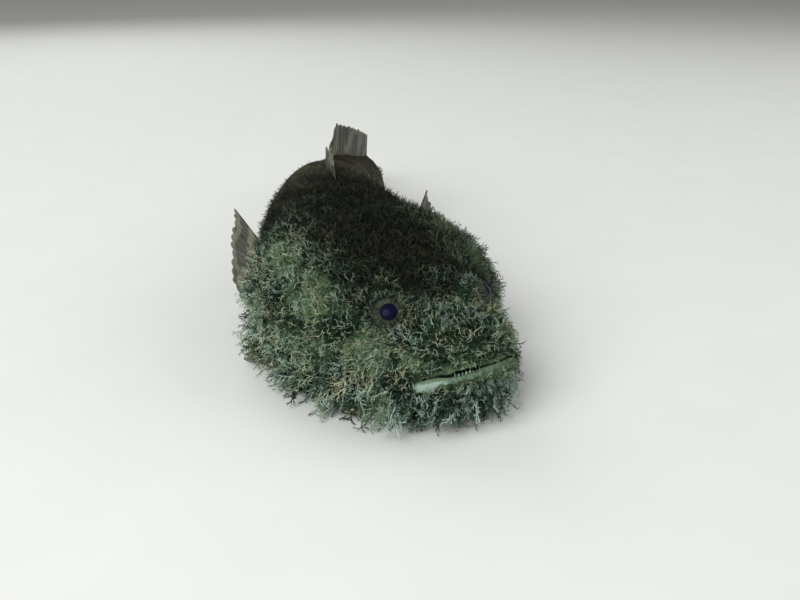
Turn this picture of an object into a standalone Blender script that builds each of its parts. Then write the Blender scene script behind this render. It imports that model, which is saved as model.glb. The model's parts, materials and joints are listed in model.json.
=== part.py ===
"""A bearded toadfish resting on its belly, life size, as a still museum model.

The fish is laid out straight, with its nose at x = 0 and its tail towards -x, and is
then bent to its resting curve, the tail swinging to the fish's left (+y).
Lengths are in metres, +z is up, and the floor is z = 0.
"""

import math

import bmesh
import bpy
import numpy as np
from mathutils import Vector

MM = 0.001

# Driving dimensions
HEAD_LENGTH = 99 * MM
BODY_LENGTH = 294 * MM
TAIL_FIN_LENGTH = 41 * MM
PARTING_GAP = 0.3 * MM
EYE_CENTRE = Vector((-30.0 * MM, 16.2 * MM, 35.1 * MM))
EYE_RADIUS = 6.6 * MM
EYE_LOOK = Vector((0.50, 0.65, 0.57)).normalized()
SOCKET_GAP = 0.4 * MM
EYE_MOUND_DEPTH = 3.5 * MM
EYE_MOUND_RADIUS = 8.9 * MM
MOUTH_OPENING = 1.3 * MM
LOWER_LIP = 1.0 * MM
SNOUT_ROUNDING = 30 * MM
SIDES = 24

# The line of the mouth seen from the side, in mm: distance from the nose and height, tip to corner
MOUTH_LINE = ((0, 25.0), (4, 23.6), (9, 20.6), (13, 17.0), (18, 14.0), (25, 11.0), (31, 9.0))

FIN_SKIN_SHARE = 0.62
FIN_TAPER = 0.45
PECTORAL_SPLAY = {"left": math.radians(40), "right": math.radians(12)}

# The resting curve: the trunk swings left behind the head, and the tail swings part of the way back
SWING_LEFT = math.radians(38)
SWING_BACK = math.radians(24)
LEFT_SWING_SPAN = (84 * MM, 166 * MM)
BACK_SWING_SPAN = (196 * MM, 300 * MM)
ORIGIN_BACK = 152 * MM
ORIGIN_LEFT = 20.3 * MM

# Sections of the body, in mm: distance from the nose, half width, top, widest height, bottom,
# then how boxy the top, the bottom and the sides are, where 1 is an ellipse
SECTIONS = {
    "nose": (0, 26, 28.0, 22.5, 18.0, 0.90, 0.80, 0.90),
    "lip": (4, 26, 31.0, 22.0, 11.0, 0.82, 0.75, 0.88),
    "chin": (10, 26.5, 34.0, 21.0, 6.5, 0.76, 0.72, 0.86),
    "nostrils": (18, 28, 37.0, 19.0, 3.5, 0.72, 0.72, 0.85),
    "eyes": (30, 31.0, 41.0, 18.0, 1.0, 0.68, 0.72, 0.85),
    "jaw joint": (44, 37.5, 45.5, 19.0, -0.8, 0.66, 0.72, 0.84),
    "cheeks": (66, 46, 51.0, 22.0, -1.5, 0.66, 0.72, 0.83),
    "gill covers": (82, 45.5, 55.5, 24.0, -1.6, 0.72, 0.72, 0.84),
    "nape": (99, 38.0, 60.0, 26.0, -1.6, 0.80, 0.74, 0.88),
    "shoulder": (115, 32.0, 62.5, 27.5, -1.6, 0.86, 0.76, 0.90),
    "belly": (136, 27.5, 62.5, 28.0, -1.4, 0.90, 0.80, 0.92),
    "vent": (161, 22.5, 59.0, 28.0, 0.6, 0.95, 0.85, 0.95),
    "tail root": (190, 17.0, 52.5, 27.0, 5.5, 1.0, 0.90, 1.0),
    "tail middle": (224, 12.0, 44.5, 25.5, 10.0, 1.0, 1.0, 1.0),
    "tail stalk": (262, 7.5, 36.5, 23.5, 12.0, 1.0, 1.0, 1.0),
    "tail end": (294, 4.2, 33.0, 22.5, 12.5, 1.0, 1.0, 1.0),
}

TONES = {
    "head": (0.12, 0.15, 0.11),
    "jaw": (0.16, 0.20, 0.16),
    "gill_cover": (0.13, 0.16, 0.12),
    "trunk": (0.11, 0.12, 0.09),
    "tail": (0.10, 0.11, 0.08),
    "fin": (0.12, 0.13, 0.10),
    "eye": (0.02, 0.02, 0.06),
}


def smooth_step(value):
    t = np.clip(value, 0.0, 1.0)
    return t * t * (3 - 2 * t)


def smooth_through(places, values, at):
    """A smooth curve through the values that doesn't overshoot them (Fritsch-Carlson slopes)."""
    places, values = np.asarray(places, float), np.asarray(values, float)
    run = np.diff(places)
    slope = np.diff(values) / run
    before, after = slope[:-1], slope[1:]
    weight = (run[:-1] + 2 * run[1:], 2 * run[:-1] + run[1:])
    with np.errstate(divide="ignore", invalid="ignore"):
        mean = (weight[0] + weight[1]) / (weight[0] / before + weight[1] / after)
    inner = np.where(before * after > 0, mean, 0.0)
    slopes = np.concatenate([slope[:1], inner, slope[-1:]])
    at = np.clip(at, places[0], places[-1])
    i = np.clip(np.searchsorted(places, at, side="right") - 1, 0, len(run) - 1)
    t = (at - places[i]) / run[i]
    low, high = values[i], values[i + 1]
    rise, fall = slopes[i] * run[i], slopes[i + 1] * run[i]
    return (
        low * (1 + 2 * t) * (1 - t) ** 2
        + rise * t * (1 - t) ** 2
        + high * t * t * (3 - 2 * t)
        + fall * t * t * (t - 1)
    )


def section_at(back):
    """Half width, top, widest height, bottom and the three boxiness values, this far from the nose."""
    rows = np.array(list(SECTIONS.values()), float)
    places = rows[:, 0] * MM
    columns = [smooth_through(places, rows[:, k], back) for k in range(1, 8)]
    half_width, top, widest, bottom = (c * MM for c in columns[:4])
    nearness = 1 - np.clip(back / SNOUT_ROUNDING, 0, 1)
    half_width = half_width * np.sqrt(np.maximum(1 - nearness**2.4, 0.004))
    return half_width, top, widest, bottom, *columns[4:]


def surface_point(back, turn, grow=0.0):
    """The straight body at an angle round its section, where 0 is the left side and pi / 2 the back."""
    half_width, top, widest, bottom, box_top, box_bottom, box_side = section_at(back)
    c, s = math.cos(turn), math.sin(turn)
    y = (half_width + grow) * math.copysign(abs(c) ** box_side, c)
    if s >= 0:
        z = widest + (top + grow - widest) * s**box_top
    else:
        z = widest - (widest - bottom + grow) * abs(s) ** box_bottom
    return Vector((-back, y, max(z, 0.0)))


def turn_for_height(back, height):
    """The angle below the widest point at which the section is at this height."""
    _, _, widest, bottom, _, box_bottom, _ = section_at(back)
    share = (widest - height) / (widest - bottom)
    return -math.asin(min(max(share, 0.0), 1.0) ** (1 / box_bottom))


SPINE_STEP = 0.5 * MM
SPINE_S = np.arange(0, BODY_LENGTH + TAIL_FIN_LENGTH + 40 * MM, SPINE_STEP)


def heading(back):
    left = smooth_step((back - LEFT_SWING_SPAN[0]) / (LEFT_SWING_SPAN[1] - LEFT_SWING_SPAN[0]))
    again = smooth_step((back - BACK_SWING_SPAN[0]) / (BACK_SWING_SPAN[1] - BACK_SWING_SPAN[0]))
    return SWING_LEFT * left - SWING_BACK * again


SPINE_X = -np.cumsum(np.cos(heading(SPINE_S))) * SPINE_STEP
SPINE_Y = np.cumsum(np.sin(heading(SPINE_S))) * SPINE_STEP


def to_pose(points, bend_at=None):
    """Bends straight points to the resting curve, or turns them rigidly with the body at bend_at."""
    back, y = -points[:, 0], points[:, 1]
    along = np.maximum(back, 0.0) if bend_at is None else np.full_like(back, bend_at)
    ahead = along - back
    turn = heading(along)
    posed = points.copy()
    posed[:, 0] = np.interp(along, SPINE_S, SPINE_X) + ahead * np.cos(turn) + y * np.sin(turn) + ORIGIN_BACK
    posed[:, 1] = np.interp(along, SPINE_S, SPINE_Y) - ahead * np.sin(turn) + y * np.cos(turn) - ORIGIN_LEFT
    return posed


def clear_scene():
    for obj in list(bpy.data.objects):
        bpy.data.objects.remove(obj)


def new_collection(name):
    collection = bpy.data.collections.new(name)
    bpy.context.scene.collection.children.link(collection)
    return collection


def make_material(name, tone):
    material = bpy.data.materials.new(name)
    material.use_nodes = True
    shader = material.node_tree.nodes["Principled BSDF"]
    shader.inputs["Base Color"].default_value = (*tone, 1)
    shader.inputs["Roughness"].default_value = 0.2 if name == "eye" else 0.6
    shader.inputs["Metallic"].default_value = 0.0
    return material


clear_scene()
FISH = new_collection("bearded_toadfish")
CUTTERS = new_collection("cutters")
MATERIALS = {name: make_material(name, tone) for name, tone in TONES.items()}


def add_object(name, mesh, tone):
    """A named part of the fish, or a cutter when it has no tone."""
    obj = bpy.data.objects.new(name, mesh)
    (FISH if tone else CUTTERS).objects.link(obj)
    if tone:
        mesh.materials.clear()
        mesh.materials.append(MATERIALS[tone])
    else:
        obj.hide_render = True
        obj.display_type = "WIRE"
    return obj


def mesh_from(bm, name):
    bmesh.ops.recalc_face_normals(bm, faces=bm.faces)
    mesh = bpy.data.meshes.new(name)
    bm.to_mesh(mesh)
    bm.free()
    mesh.shade_smooth()
    mesh.set_sharp_from_angle(angle=math.radians(50))
    return mesh


def loft(name, start, end, rings, tone, grow=0.0, crowding=1.0):
    """The body between two distances from the nose, as rings of points with a flat cap at each end."""
    bm = bmesh.new()
    loops = []
    for i in range(rings):
        back = start + (end - start) * (i / (rings - 1)) ** crowding
        turns = [2 * math.pi * k / SIDES for k in range(SIDES)]
        loops.append([bm.verts.new(surface_point(back, turn, grow)) for turn in turns])
    for loop, following in zip(loops, loops[1:]):
        for k in range(SIDES):
            n = (k + 1) % SIDES
            bm.faces.new((loop[k], loop[n], following[n], following[k]))
    bm.faces.new(loops[0])
    bm.faces.new(loops[-1])
    return add_object(name, mesh_from(bm, name), tone)


def prism(name, outline):
    """A cutter: an outline of (distance from the nose, height) run right across the fish."""
    bm = bmesh.new()
    reach = 60 * MM
    sides = [
        [bm.verts.new((-back, y, height)) for back, height in outline]
        for y in (-reach, reach)
    ]
    for k in range(len(outline)):
        n = (k + 1) % len(outline)
        bm.faces.new((sides[0][k], sides[0][n], sides[1][n], sides[1][k]))
    bm.faces.new(sides[0])
    bm.faces.new(sides[1])
    return add_object(name, mesh_from(bm, name), None)


def mirrored(point, side):
    return Vector((point.x, point.y * side, point.z))


def ball(name, centre, radii, tone, segments=20, rings=12):
    bm = bmesh.new()
    bmesh.ops.create_uvsphere(bm, u_segments=segments, v_segments=rings, radius=1)
    for vert in bm.verts:
        vert.co = Vector(centre) + Vector([a * b for a, b in zip(vert.co, radii)])
    return add_object(name, mesh_from(bm, name), tone)


def boolean(obj, operation, other):
    """Adds a Boolean with one cutter, or with a collection of them.

    The exact solver loses thin fins here and leaves open edges at the barbels' roots.
    """
    modifier = obj.modifiers.new(f"{operation.lower()}_{other.name}", "BOOLEAN")
    modifier.operation = operation
    modifier.solver = "MANIFOLD"
    if isinstance(other, bpy.types.Collection):
        modifier.operand_type = "COLLECTION"
        modifier.collection = other
    else:
        modifier.object = other


def mouth_outline(side):
    """The lower jaw's outline from the side, half a parting smaller (side -1) or larger (side 1)."""
    half, parting = MOUTH_OPENING / 2 * side, PARTING_GAP / 2 * side
    line = [(back * MM, height * MM + half) for back, height in MOUTH_LINE]
    (tip_back, tip_height), (corner_back, corner_height) = line[0], line[-1]
    ahead, below, throat = 8 * MM, -6 * MM, 14 * MM
    return [
        (tip_back - ahead, tip_height + 1.5 * MM),
        *line,
        (corner_back + 3 * MM + parting, corner_height - 1 * MM),
        (corner_back + throat + parting, below),
        (tip_back - ahead, below),
    ]


def barbel(name, root, heading_to, length, radius, collection):
    """One fleshy barbel: a tapering tube that leaves the skin and droops towards the floor."""
    curve = bpy.data.curves.new(name, "CURVE")
    curve.dimensions = "3D"
    curve.bevel_depth = radius
    curve.bevel_resolution = 1
    curve.use_fill_caps = True
    spline = curve.splines.new("POLY")
    count = 4
    spline.points.add(count - 1)
    inset = 2.5 * MM
    droop = 0.3 * length
    floor_clearance = 0.6 * MM
    for k, point in enumerate(spline.points):
        share = k / (count - 1)
        place = root + heading_to * (share * (length + inset) - inset)
        place.z -= droop * share**2
        thickness = 1.0 - 0.62 * share
        place.z = max(place.z, floor_clearance + radius * thickness)
        point.co = (*place, 1)
        point.radius = thickness
    tube = bpy.data.objects.new(name, curve)
    CUTTERS.objects.link(tube)
    bpy.context.view_layer.update()
    mesh = bpy.data.meshes.new_from_object(tube.evaluated_get(bpy.context.evaluated_depsgraph_get()))
    bpy.data.objects.remove(tube)
    bm = bmesh.new()
    bm.from_mesh(mesh)
    bpy.data.meshes.remove(mesh)
    bmesh.ops.remove_doubles(bm, verts=bm.verts, dist=0.01 * MM)
    solid = bpy.data.objects.new(name, mesh_from(bm, name))
    collection.objects.link(solid)
    solid.hide_render = True
    solid.display_type = "WIRE"


def barbel_row(name, obj, count, side, place, length, radius):
    """Joins a row of barbels to the part that they grow from. place(share) gives a root and a way out."""
    row = bpy.data.collections.new(name)
    CUTTERS.children.link(row)
    row.hide_render = True
    for k in range(count):
        share = k / max(count - 1, 1)
        root, way = place(share)
        way = Vector((way[0], way[1] * side, way[2])).normalized()
        root = mirrored(root, side)
        wave = 1 + 0.16 * math.sin(2.4 * k + side)
        barbel(f"{name}_{k + 1}", root, way, length * wave, radius, row)
    boolean(obj, "UNION", row)


def low_point(back, height):
    return surface_point(back, turn_for_height(back, height))


def chin_place(share):
    back = (2.0 + 29 * share**1.15) * MM
    height = (12.0 - 6.0 * share) * MM
    fan = math.radians(12 + 78 * min(1.0, share * 1.25))
    return low_point(back, height), (math.cos(fan), math.sin(fan), -0.45)


def cheek_place(share):
    back = (39 + 21 * share) * MM
    fan = math.radians(88 + 18 * share)
    return low_point(back, (8.0 + 1.5 * share) * MM), (math.cos(fan), math.sin(fan), -0.25)


def gill_place(share):
    back = (73.5 + 19 * share) * MM
    fan = math.radians(105 + 20 * share)
    return low_point(back, (11.0 + 10 * share) * MM), (math.cos(fan), math.sin(fan), -0.3)


def lip_place(share):
    back = (20 + 12 * share) * MM
    return low_point(back, (17.0 - 2.0 * share) * MM), (0.1, 1.0, -0.25)


def build_head():
    """Head, lower jaw, gill covers and eyes, with the barbels of the beard."""
    end = HEAD_LENGTH - PARTING_GAP / 2
    head = loft("head", 0.0, end, 24, "head", crowding=1.35)
    jaw = loft("lower_jaw", 0.0, 52 * MM, 15, "jaw", grow=LOWER_LIP, crowding=1.35)
    boolean(jaw, "INTERSECT", prism("jaw_region", mouth_outline(-1)))
    boolean(head, "DIFFERENCE", prism("jaw_room", mouth_outline(1)))
    for side, word in ((1, "left"), (-1, "right")):
        centre = (-83 * MM, side * 46 * MM, 24 * MM)
        radii = Vector((21 * MM, 17 * MM, 21 * MM))
        cover = loft(f"gill_cover_{word}", 61 * MM, end, 9, "gill_cover")
        boolean(cover, "INTERSECT", ball(f"cover_region_{word}", centre, radii, None))
        grown = radii + Vector((PARTING_GAP,) * 3)
        boolean(head, "DIFFERENCE", ball(f"cover_room_{word}", centre, grown, None))
        eye = mirrored(EYE_CENTRE, side)
        mound = eye - mirrored(EYE_LOOK, side) * EYE_MOUND_DEPTH
        socket = (EYE_RADIUS + SOCKET_GAP,) * 3
        boolean(head, "UNION", ball(f"mound_{word}", mound, (EYE_MOUND_RADIUS,) * 3, None, 16, 10))
        boolean(head, "DIFFERENCE", ball(f"socket_{word}", eye, socket, None, 14, 9))
        ball(f"eye_{word}", eye, (EYE_RADIUS,) * 3, "eye", 14, 9)
        barbel_row(f"chin_barbels_{word}", jaw, 7, side, chin_place, 8.5 * MM, 1.25 * MM)
        barbel_row(f"cheek_barbels_{word}", head, 5, side, cheek_place, 10.5 * MM, 1.4 * MM)
        barbel_row(f"lip_barbels_{word}", head, 3, side, lip_place, 5.5 * MM, 1.0 * MM)
        barbel_row(f"gill_barbels_{word}", cover, 5, side, gill_place, 10 * MM, 1.3 * MM)


def build_body():
    """The trunk and tail, in four lengths with a thin parting between them."""
    lengths = (
        ("trunk_front", HEAD_LENGTH, 136 * MM, 6, "trunk"),
        ("trunk_rear", 136 * MM, 176 * MM, 6, "trunk"),
        ("tail_front", 176 * MM, 230 * MM, 7, "tail"),
        ("tail_stalk", 230 * MM, BODY_LENGTH, 7, "tail"),
    )
    half = PARTING_GAP / 2
    for name, start, end, rings, tone in lengths:
        last = end if end == BODY_LENGTH else end - half
        loft(name, start + half, last, rings, tone)


def set_in_pose(objects):
    """Replaces each object's mesh by its finished shape, bent to the resting curve."""
    bpy.context.view_layer.update()
    graph = bpy.context.evaluated_depsgraph_get()
    finished = [bpy.data.meshes.new_from_object(obj.evaluated_get(graph)) for obj in objects]
    for obj, mesh in zip(objects, finished):
        points = np.empty(len(mesh.vertices) * 3)
        mesh.vertices.foreach_get("co", points)
        mesh.vertices.foreach_set("co", to_pose(points.reshape(-1, 3)).ravel())
        mesh.update()
        obj.modifiers.clear()
        obj.data = mesh


def fin(name, rays, base, tip, ray_thickness, scallop, trim, rows=1, bend_at=None):
    """A fan of rays with thinner skin between, from base(share) to tip(share), parted from the body."""
    columns = 2 * rays - 1
    points = []
    for i in range(columns):
        share = i / (columns - 1)
        foot, end = Vector(base(share)), Vector(tip(share))
        end = foot + (end - foot) * (1 - scallop * (i % 2))
        points += [foot.lerp(end, k / rows) for k in range(rows + 1)]
    bm = bmesh.new()
    verts = [bm.verts.new(point) for point in to_pose(np.array(points), bend_at)]
    for i in range(columns - 1):
        for k in range(rows):
            corner = i * (rows + 1) + k
            bm.faces.new([verts[corner + step] for step in (0, rows + 1, rows + 2, 1)])
    obj = add_object(name, mesh_from(bm, name), "fin")
    thickness = obj.vertex_groups.new(name="thickness")
    for index in range(len(verts)):
        column, row = divmod(index, rows + 1)
        web = FIN_SKIN_SHARE if column % 2 else 1.0
        thickness.add([index], web * (1 - FIN_TAPER * row / rows), "REPLACE")
    solid = obj.modifiers.new("thickness", "SOLIDIFY")
    solid.thickness = ray_thickness
    solid.offset = 0
    solid.vertex_group = "thickness"
    boolean(obj, "DIFFERENCE", trim)


def between(span, share):
    return span[0] + (span[1] - span[0]) * share


def on_back(back, rise):
    """A point above the back, and past the end of the body, straight behind it."""
    return Vector((-back, 0, section_at(min(back, BODY_LENGTH))[1] + rise))


def on_belly(back, drop):
    return Vector((-back, 0, section_at(min(back, BODY_LENGTH))[3] - drop))


def build_back_fins(trim):
    """The three short spines behind the head, the long soft fin behind them, and the anal fin."""
    spiny, soft, anal = (107 * MM, 128 * MM), (136 * MM, 284 * MM), (176 * MM, 280 * MM)

    def spiny_tip(share):
        return on_back(between(spiny, share) + (6 + 4 * share) * MM, (10.5 - 5 * share**1.5) * MM)

    def soft_tip(share):
        rise = 0.25 + 0.75 * smooth_step(share / 0.16)
        return on_back(between(soft, share) + 9 * MM, (16 - 4.5 * share) * MM * rise)

    def anal_tip(share):
        hang = 10 * MM * (0.3 + 0.7 * smooth_step(share / 0.12))
        low = on_belly(between(anal, share) + 7 * MM, hang)
        return Vector((low.x, low.y, max(low.z, 1.0 * MM)))

    fin("spiny_dorsal_fin", 3, lambda share: on_back(between(spiny, share), -3 * MM), spiny_tip,
        2.6 * MM, 0.25, trim, rows=3)
    fin("soft_dorsal_fin", 30, lambda share: on_back(between(soft, share), -2.5 * MM), soft_tip,
        1.8 * MM, 0.10, trim)
    fin("anal_fin", 24, lambda share: on_belly(between(anal, share), -2 * MM), anal_tip,
        1.7 * MM, 0.10, trim)


def build_tail_fin(trim):
    def base(share):
        return Vector((-(BODY_LENGTH - 3 * MM), 0, (22.6 + 8.5 * (2 * share - 1)) * MM))

    def tip(share):
        fan = math.radians(27) * (2 * share - 1)
        reach = (TAIL_FIN_LENGTH + 3 * MM) * (1 - 0.16 * abs(2 * share - 1) ** 2.5)
        return base(share) + Vector((-math.cos(fan), 0, 0.62 * math.sin(fan))) * reach

    fin("tail_fin", 14, base, tip, 2.0 * MM, 0.06, trim, rows=3)


def build_paired_fins(trim, side, word):
    """A broad pectoral fan behind the gill cover, and a fleshy pelvic fin under it."""
    splay = PECTORAL_SPLAY[word]

    def pectoral_base(share):
        return Vector((-(103 + 4 * share) * MM, side * (29 - 1.5 * share) * MM, (34 - 24 * share) * MM))

    def pectoral_tip(share):
        fan = math.radians(22 - 62 * share)
        reach = (43 - 26 * abs(share - 0.45) ** 1.5) * MM
        out = side * math.cos(fan) * math.sin(splay)
        end = pectoral_base(share) + Vector((-math.cos(fan) * math.cos(splay), out, math.sin(fan))) * reach
        return Vector((end.x, end.y, max(end.z, 1.6 * MM)))

    def pelvic_base(share):
        return Vector((-(70 + 10 * share) * MM, side * (32 + share) * MM, 3.0 * MM))

    def pelvic_tip(share):
        return Vector((-(88 + 12 * share) * MM, side * (58 - 8 * share) * MM, 2.0 * MM))

    fin(f"pectoral_fin_{word}", 17, pectoral_base, pectoral_tip, 1.7 * MM, 0.07, trim, 2, 105 * MM)
    fin(f"pelvic_fin_{word}", 3, pelvic_base, pelvic_tip, 3.0 * MM, 0.18, trim, 3, 75 * MM)


def build_fins():
    """The fins, made round the body in its pose and parted from it."""
    trim = loft("body_room", 0.5 * MM, BODY_LENGTH + PARTING_GAP, 60, None, grow=PARTING_GAP)
    set_in_pose([trim])
    build_back_fins(trim)
    build_tail_fin(trim)
    for side, word in ((1, "left"), (-1, "right")):
        build_paired_fins(trim, side, word)


build_head()
build_body()
set_in_pose(list(FISH.objects))
build_fins()
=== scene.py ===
# %% [markdown]
# # A bearded toadfish, life size
# The fish lies on its belly with its head raised a little and its tail swung aside. Its broad
# head is thickly covered with branching skin filaments, and longer ones hang from the chin, the
# cheeks and the gill covers as a beard. The packed solids give the frame and the sizes. This
# script makes one skin, the eyes, the teeth, the filaments and the fins over them.

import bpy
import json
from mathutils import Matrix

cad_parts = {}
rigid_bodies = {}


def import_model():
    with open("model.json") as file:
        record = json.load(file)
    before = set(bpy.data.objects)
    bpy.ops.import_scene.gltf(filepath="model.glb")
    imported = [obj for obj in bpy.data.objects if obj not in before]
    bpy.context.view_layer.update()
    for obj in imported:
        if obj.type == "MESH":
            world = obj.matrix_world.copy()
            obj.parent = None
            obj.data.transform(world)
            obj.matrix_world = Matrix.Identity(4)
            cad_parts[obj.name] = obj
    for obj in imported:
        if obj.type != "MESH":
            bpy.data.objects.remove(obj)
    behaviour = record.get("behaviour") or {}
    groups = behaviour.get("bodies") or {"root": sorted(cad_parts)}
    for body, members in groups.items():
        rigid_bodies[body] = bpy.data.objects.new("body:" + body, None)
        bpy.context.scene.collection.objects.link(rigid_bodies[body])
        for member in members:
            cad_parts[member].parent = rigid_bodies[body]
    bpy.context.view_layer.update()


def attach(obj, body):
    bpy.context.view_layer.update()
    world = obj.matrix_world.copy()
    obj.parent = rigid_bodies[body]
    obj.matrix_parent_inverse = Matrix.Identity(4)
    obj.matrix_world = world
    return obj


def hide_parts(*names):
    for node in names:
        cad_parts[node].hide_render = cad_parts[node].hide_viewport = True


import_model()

# %% Modules and units
import json
import math

import bmesh
import bpy
import numpy as np
from mathutils import Vector

MM = 0.001
SCENE = bpy.context.scene
print("made with Blender", bpy.app.version_string)

# %% [markdown]
# ## The camera
# The picture was taken close by, from in front of the fish's right side and a little above its
# head. The camera aims at the middle of the face, and a small shift of the lens puts that point
# where the picture has it. Its height and its focal length are those that fit the picture best.

# %% Place the camera
PHOTO_WIDTH = 800
PHOTO_HEIGHT = 600
AIM = Vector((113.2, -20.3, 22.4)) * MM
AIM_PIXEL = (420, 332)
CAMERA_TURN = math.radians(-30)
CAMERA_RISE = math.radians(24.7)
CAMERA_DISTANCE = 296.8 * MM
FOCAL_PIXELS = 838
SENSOR_WIDTH = 36
CLIP_START = 10 * MM
CLIP_END = 50


def place_camera():
    data = bpy.data.cameras.new("camera")
    camera = bpy.data.objects.new("camera", data)
    SCENE.collection.objects.link(camera)
    flat = math.cos(CAMERA_RISE)
    back = Vector((flat * math.cos(CAMERA_TURN), flat * math.sin(CAMERA_TURN), math.sin(CAMERA_RISE)))
    camera.location = AIM + back * CAMERA_DISTANCE
    camera.rotation_euler = (-back).to_track_quat("-Z", "Y").to_euler()
    data.sensor_width = SENSOR_WIDTH
    data.lens = SENSOR_WIDTH * FOCAL_PIXELS / PHOTO_WIDTH
    data.shift_x = (PHOTO_WIDTH / 2 - AIM_PIXEL[0]) / PHOTO_WIDTH
    data.shift_y = (AIM_PIXEL[1] - PHOTO_HEIGHT / 2) / PHOTO_WIDTH
    data.clip_start = CLIP_START
    data.clip_end = CLIP_END
    SCENE.camera = camera
    return camera


CAMERA = place_camera()
print("camera at", [round(v, 3) for v in CAMERA.location], "lens", round(CAMERA.data.lens, 1), "mm")

# %% [markdown]
# ## The shape of the body
# A fish is easiest to lay out straight: each section across it is a boxy oval with a half width, a
# top, a bottom and a height where it is widest. Smooth curves run through these numbers from nose
# to tail. The straight fish is bent afterwards along a curved spine. The same rule makes the
# solids, so the skin follows them everywhere, and it repeats their sizes here.

# %% Sections of the straight fish
BODY_LENGTH = 294 * MM
TAIL_FIN_LENGTH = 41 * MM
SNOUT_ROUNDING = 30 * MM
SNOUT_BLUNTNESS = 2.4

# In mm: distance from the nose, half width, top, widest height, bottom,
# then how boxy the top, the bottom and the sides are, where 1 is an ellipse
SECTIONS = {
    "nose": (0, 26, 28.0, 22.5, 18.0, 0.90, 0.80, 0.90),
    "lip": (4, 26, 31.0, 22.0, 11.0, 0.82, 0.75, 0.88),
    "chin": (10, 26.5, 34.0, 21.0, 6.5, 0.76, 0.72, 0.86),
    "nostrils": (18, 28, 37.0, 19.0, 3.5, 0.72, 0.72, 0.85),
    "eyes": (30, 31.0, 41.0, 18.0, 1.0, 0.68, 0.72, 0.85),
    "jaw joint": (44, 37.5, 45.5, 19.0, -0.8, 0.66, 0.72, 0.84),
    "cheeks": (66, 46, 51.0, 22.0, -1.5, 0.66, 0.72, 0.83),
    "gill covers": (82, 45.5, 55.5, 24.0, -1.6, 0.72, 0.72, 0.84),
    "nape": (99, 38.0, 60.0, 26.0, -1.6, 0.80, 0.74, 0.88),
    "shoulder": (115, 32.0, 62.5, 27.5, -1.6, 0.86, 0.76, 0.90),
    "belly": (136, 27.5, 62.5, 28.0, -1.4, 0.90, 0.80, 0.92),
    "vent": (161, 22.5, 59.0, 28.0, 0.6, 0.95, 0.85, 0.95),
    "tail root": (190, 17.0, 52.5, 27.0, 5.5, 1.0, 0.90, 1.0),
    "tail middle": (224, 12.0, 44.5, 25.5, 10.0, 1.0, 1.0, 1.0),
    "tail stalk": (262, 7.5, 36.5, 23.5, 12.0, 1.0, 1.0, 1.0),
    "tail end": (294, 4.2, 33.0, 22.5, 12.5, 1.0, 1.0, 1.0),
}
print("body", BODY_LENGTH, "m, widest", max(r[1] for r in SECTIONS.values()) * 2, "mm")


# %% Smooth curves through numbers
def smooth_step(value):
    t = np.clip(value, 0.0, 1.0)
    return t * t * (3 - 2 * t)


def between(low, high, value):
    """0 at low, 1 at high and a smooth rise from one to the other. High may be the smaller."""
    return smooth_step((value - low) / (high - low))


def smooth_through(places, values, at):
    """A smooth curve through the values that doesn't overshoot them (Fritsch-Carlson slopes)."""
    places, values = np.asarray(places, float), np.asarray(values, float)
    run = np.diff(places)
    slope = np.diff(values) / run
    before, after = slope[:-1], slope[1:]
    weight = (run[:-1] + 2 * run[1:], 2 * run[:-1] + run[1:])
    with np.errstate(divide="ignore", invalid="ignore"):
        mean = (weight[0] + weight[1]) / (weight[0] / before + weight[1] / after)
    inner = np.where(before * after > 0, mean, 0.0)
    slopes = np.concatenate([slope[:1], inner, slope[-1:]])
    at = np.clip(at, places[0], places[-1])
    i = np.clip(np.searchsorted(places, at, side="right") - 1, 0, len(run) - 1)
    t = (at - places[i]) / run[i]
    value = values[i] * (1 + 2 * t) * (1 - t) ** 2 + slopes[i] * run[i] * t * (1 - t) ** 2
    return value + values[i + 1] * t * t * (3 - 2 * t) + slopes[i + 1] * run[i] * t * t * (t - 1)


print("a smooth step a quarter of the way along:", smooth_step(0.25))


# %% Surface of the straight fish
def section_at(back):
    """Half width, top, widest height, bottom and the three boxiness values, this far from the nose."""
    places, *columns = np.array(list(SECTIONS.values()), float).T
    columns = [smooth_through(places * MM, column, back) for column in columns]
    half_width, top, widest, bottom = (c * MM for c in columns[:4])
    nearness = 1 - np.clip(back / SNOUT_ROUNDING, 0, 1)
    half_width = half_width * np.sqrt(np.maximum(1 - nearness**SNOUT_BLUNTNESS, 0))
    return half_width, top, widest, bottom, *columns[4:]


def surface(back, turn):
    """Points of the straight body at angles round its sections: 0 is the left side, pi / 2 the back."""
    half_width, top, widest, bottom, box_top, box_bottom, box_side = section_at(back)
    c, s = np.cos(turn), np.sin(turn)
    y = half_width * np.sign(c) * np.abs(c) ** box_side
    up = widest + (top - widest) * np.abs(s) ** box_top
    down = widest - (widest - bottom) * np.abs(s) ** box_bottom
    return np.stack([-back, y, np.where(s >= 0, up, down)], axis=-1)


def turn_at_height(back, height):
    """The angle at which the left side of a section is at this height."""
    _, top, widest, bottom, box_top, box_bottom, _ = section_at(back)
    above = np.clip((height - widest) / (top - widest), 0, 1) ** (1 / box_top)
    below = np.clip((widest - height) / (widest - bottom), 0, 1) ** (1 / box_bottom)
    return np.arcsin(above) - np.arcsin(below)


print("width at the eyes:", round(2 * section_at(30 * MM)[0] / MM, 1), "mm")

# %% The bend of the spine
SWING_LEFT = math.radians(38)
SWING_BACK = math.radians(24)
LEFT_SWING_SPAN = (84 * MM, 166 * MM)
BACK_SWING_SPAN = (196 * MM, 300 * MM)
ORIGIN_BACK = 152 * MM
ORIGIN_LEFT = 20.3 * MM
SPINE_STEP = 0.5 * MM
SPARE_SPINE = 40 * MM
SPINE_S = np.arange(0, BODY_LENGTH + TAIL_FIN_LENGTH + SPARE_SPINE, SPINE_STEP)


def heading(back):
    return SWING_LEFT * between(*LEFT_SWING_SPAN, back) - SWING_BACK * between(*BACK_SWING_SPAN, back)


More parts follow.
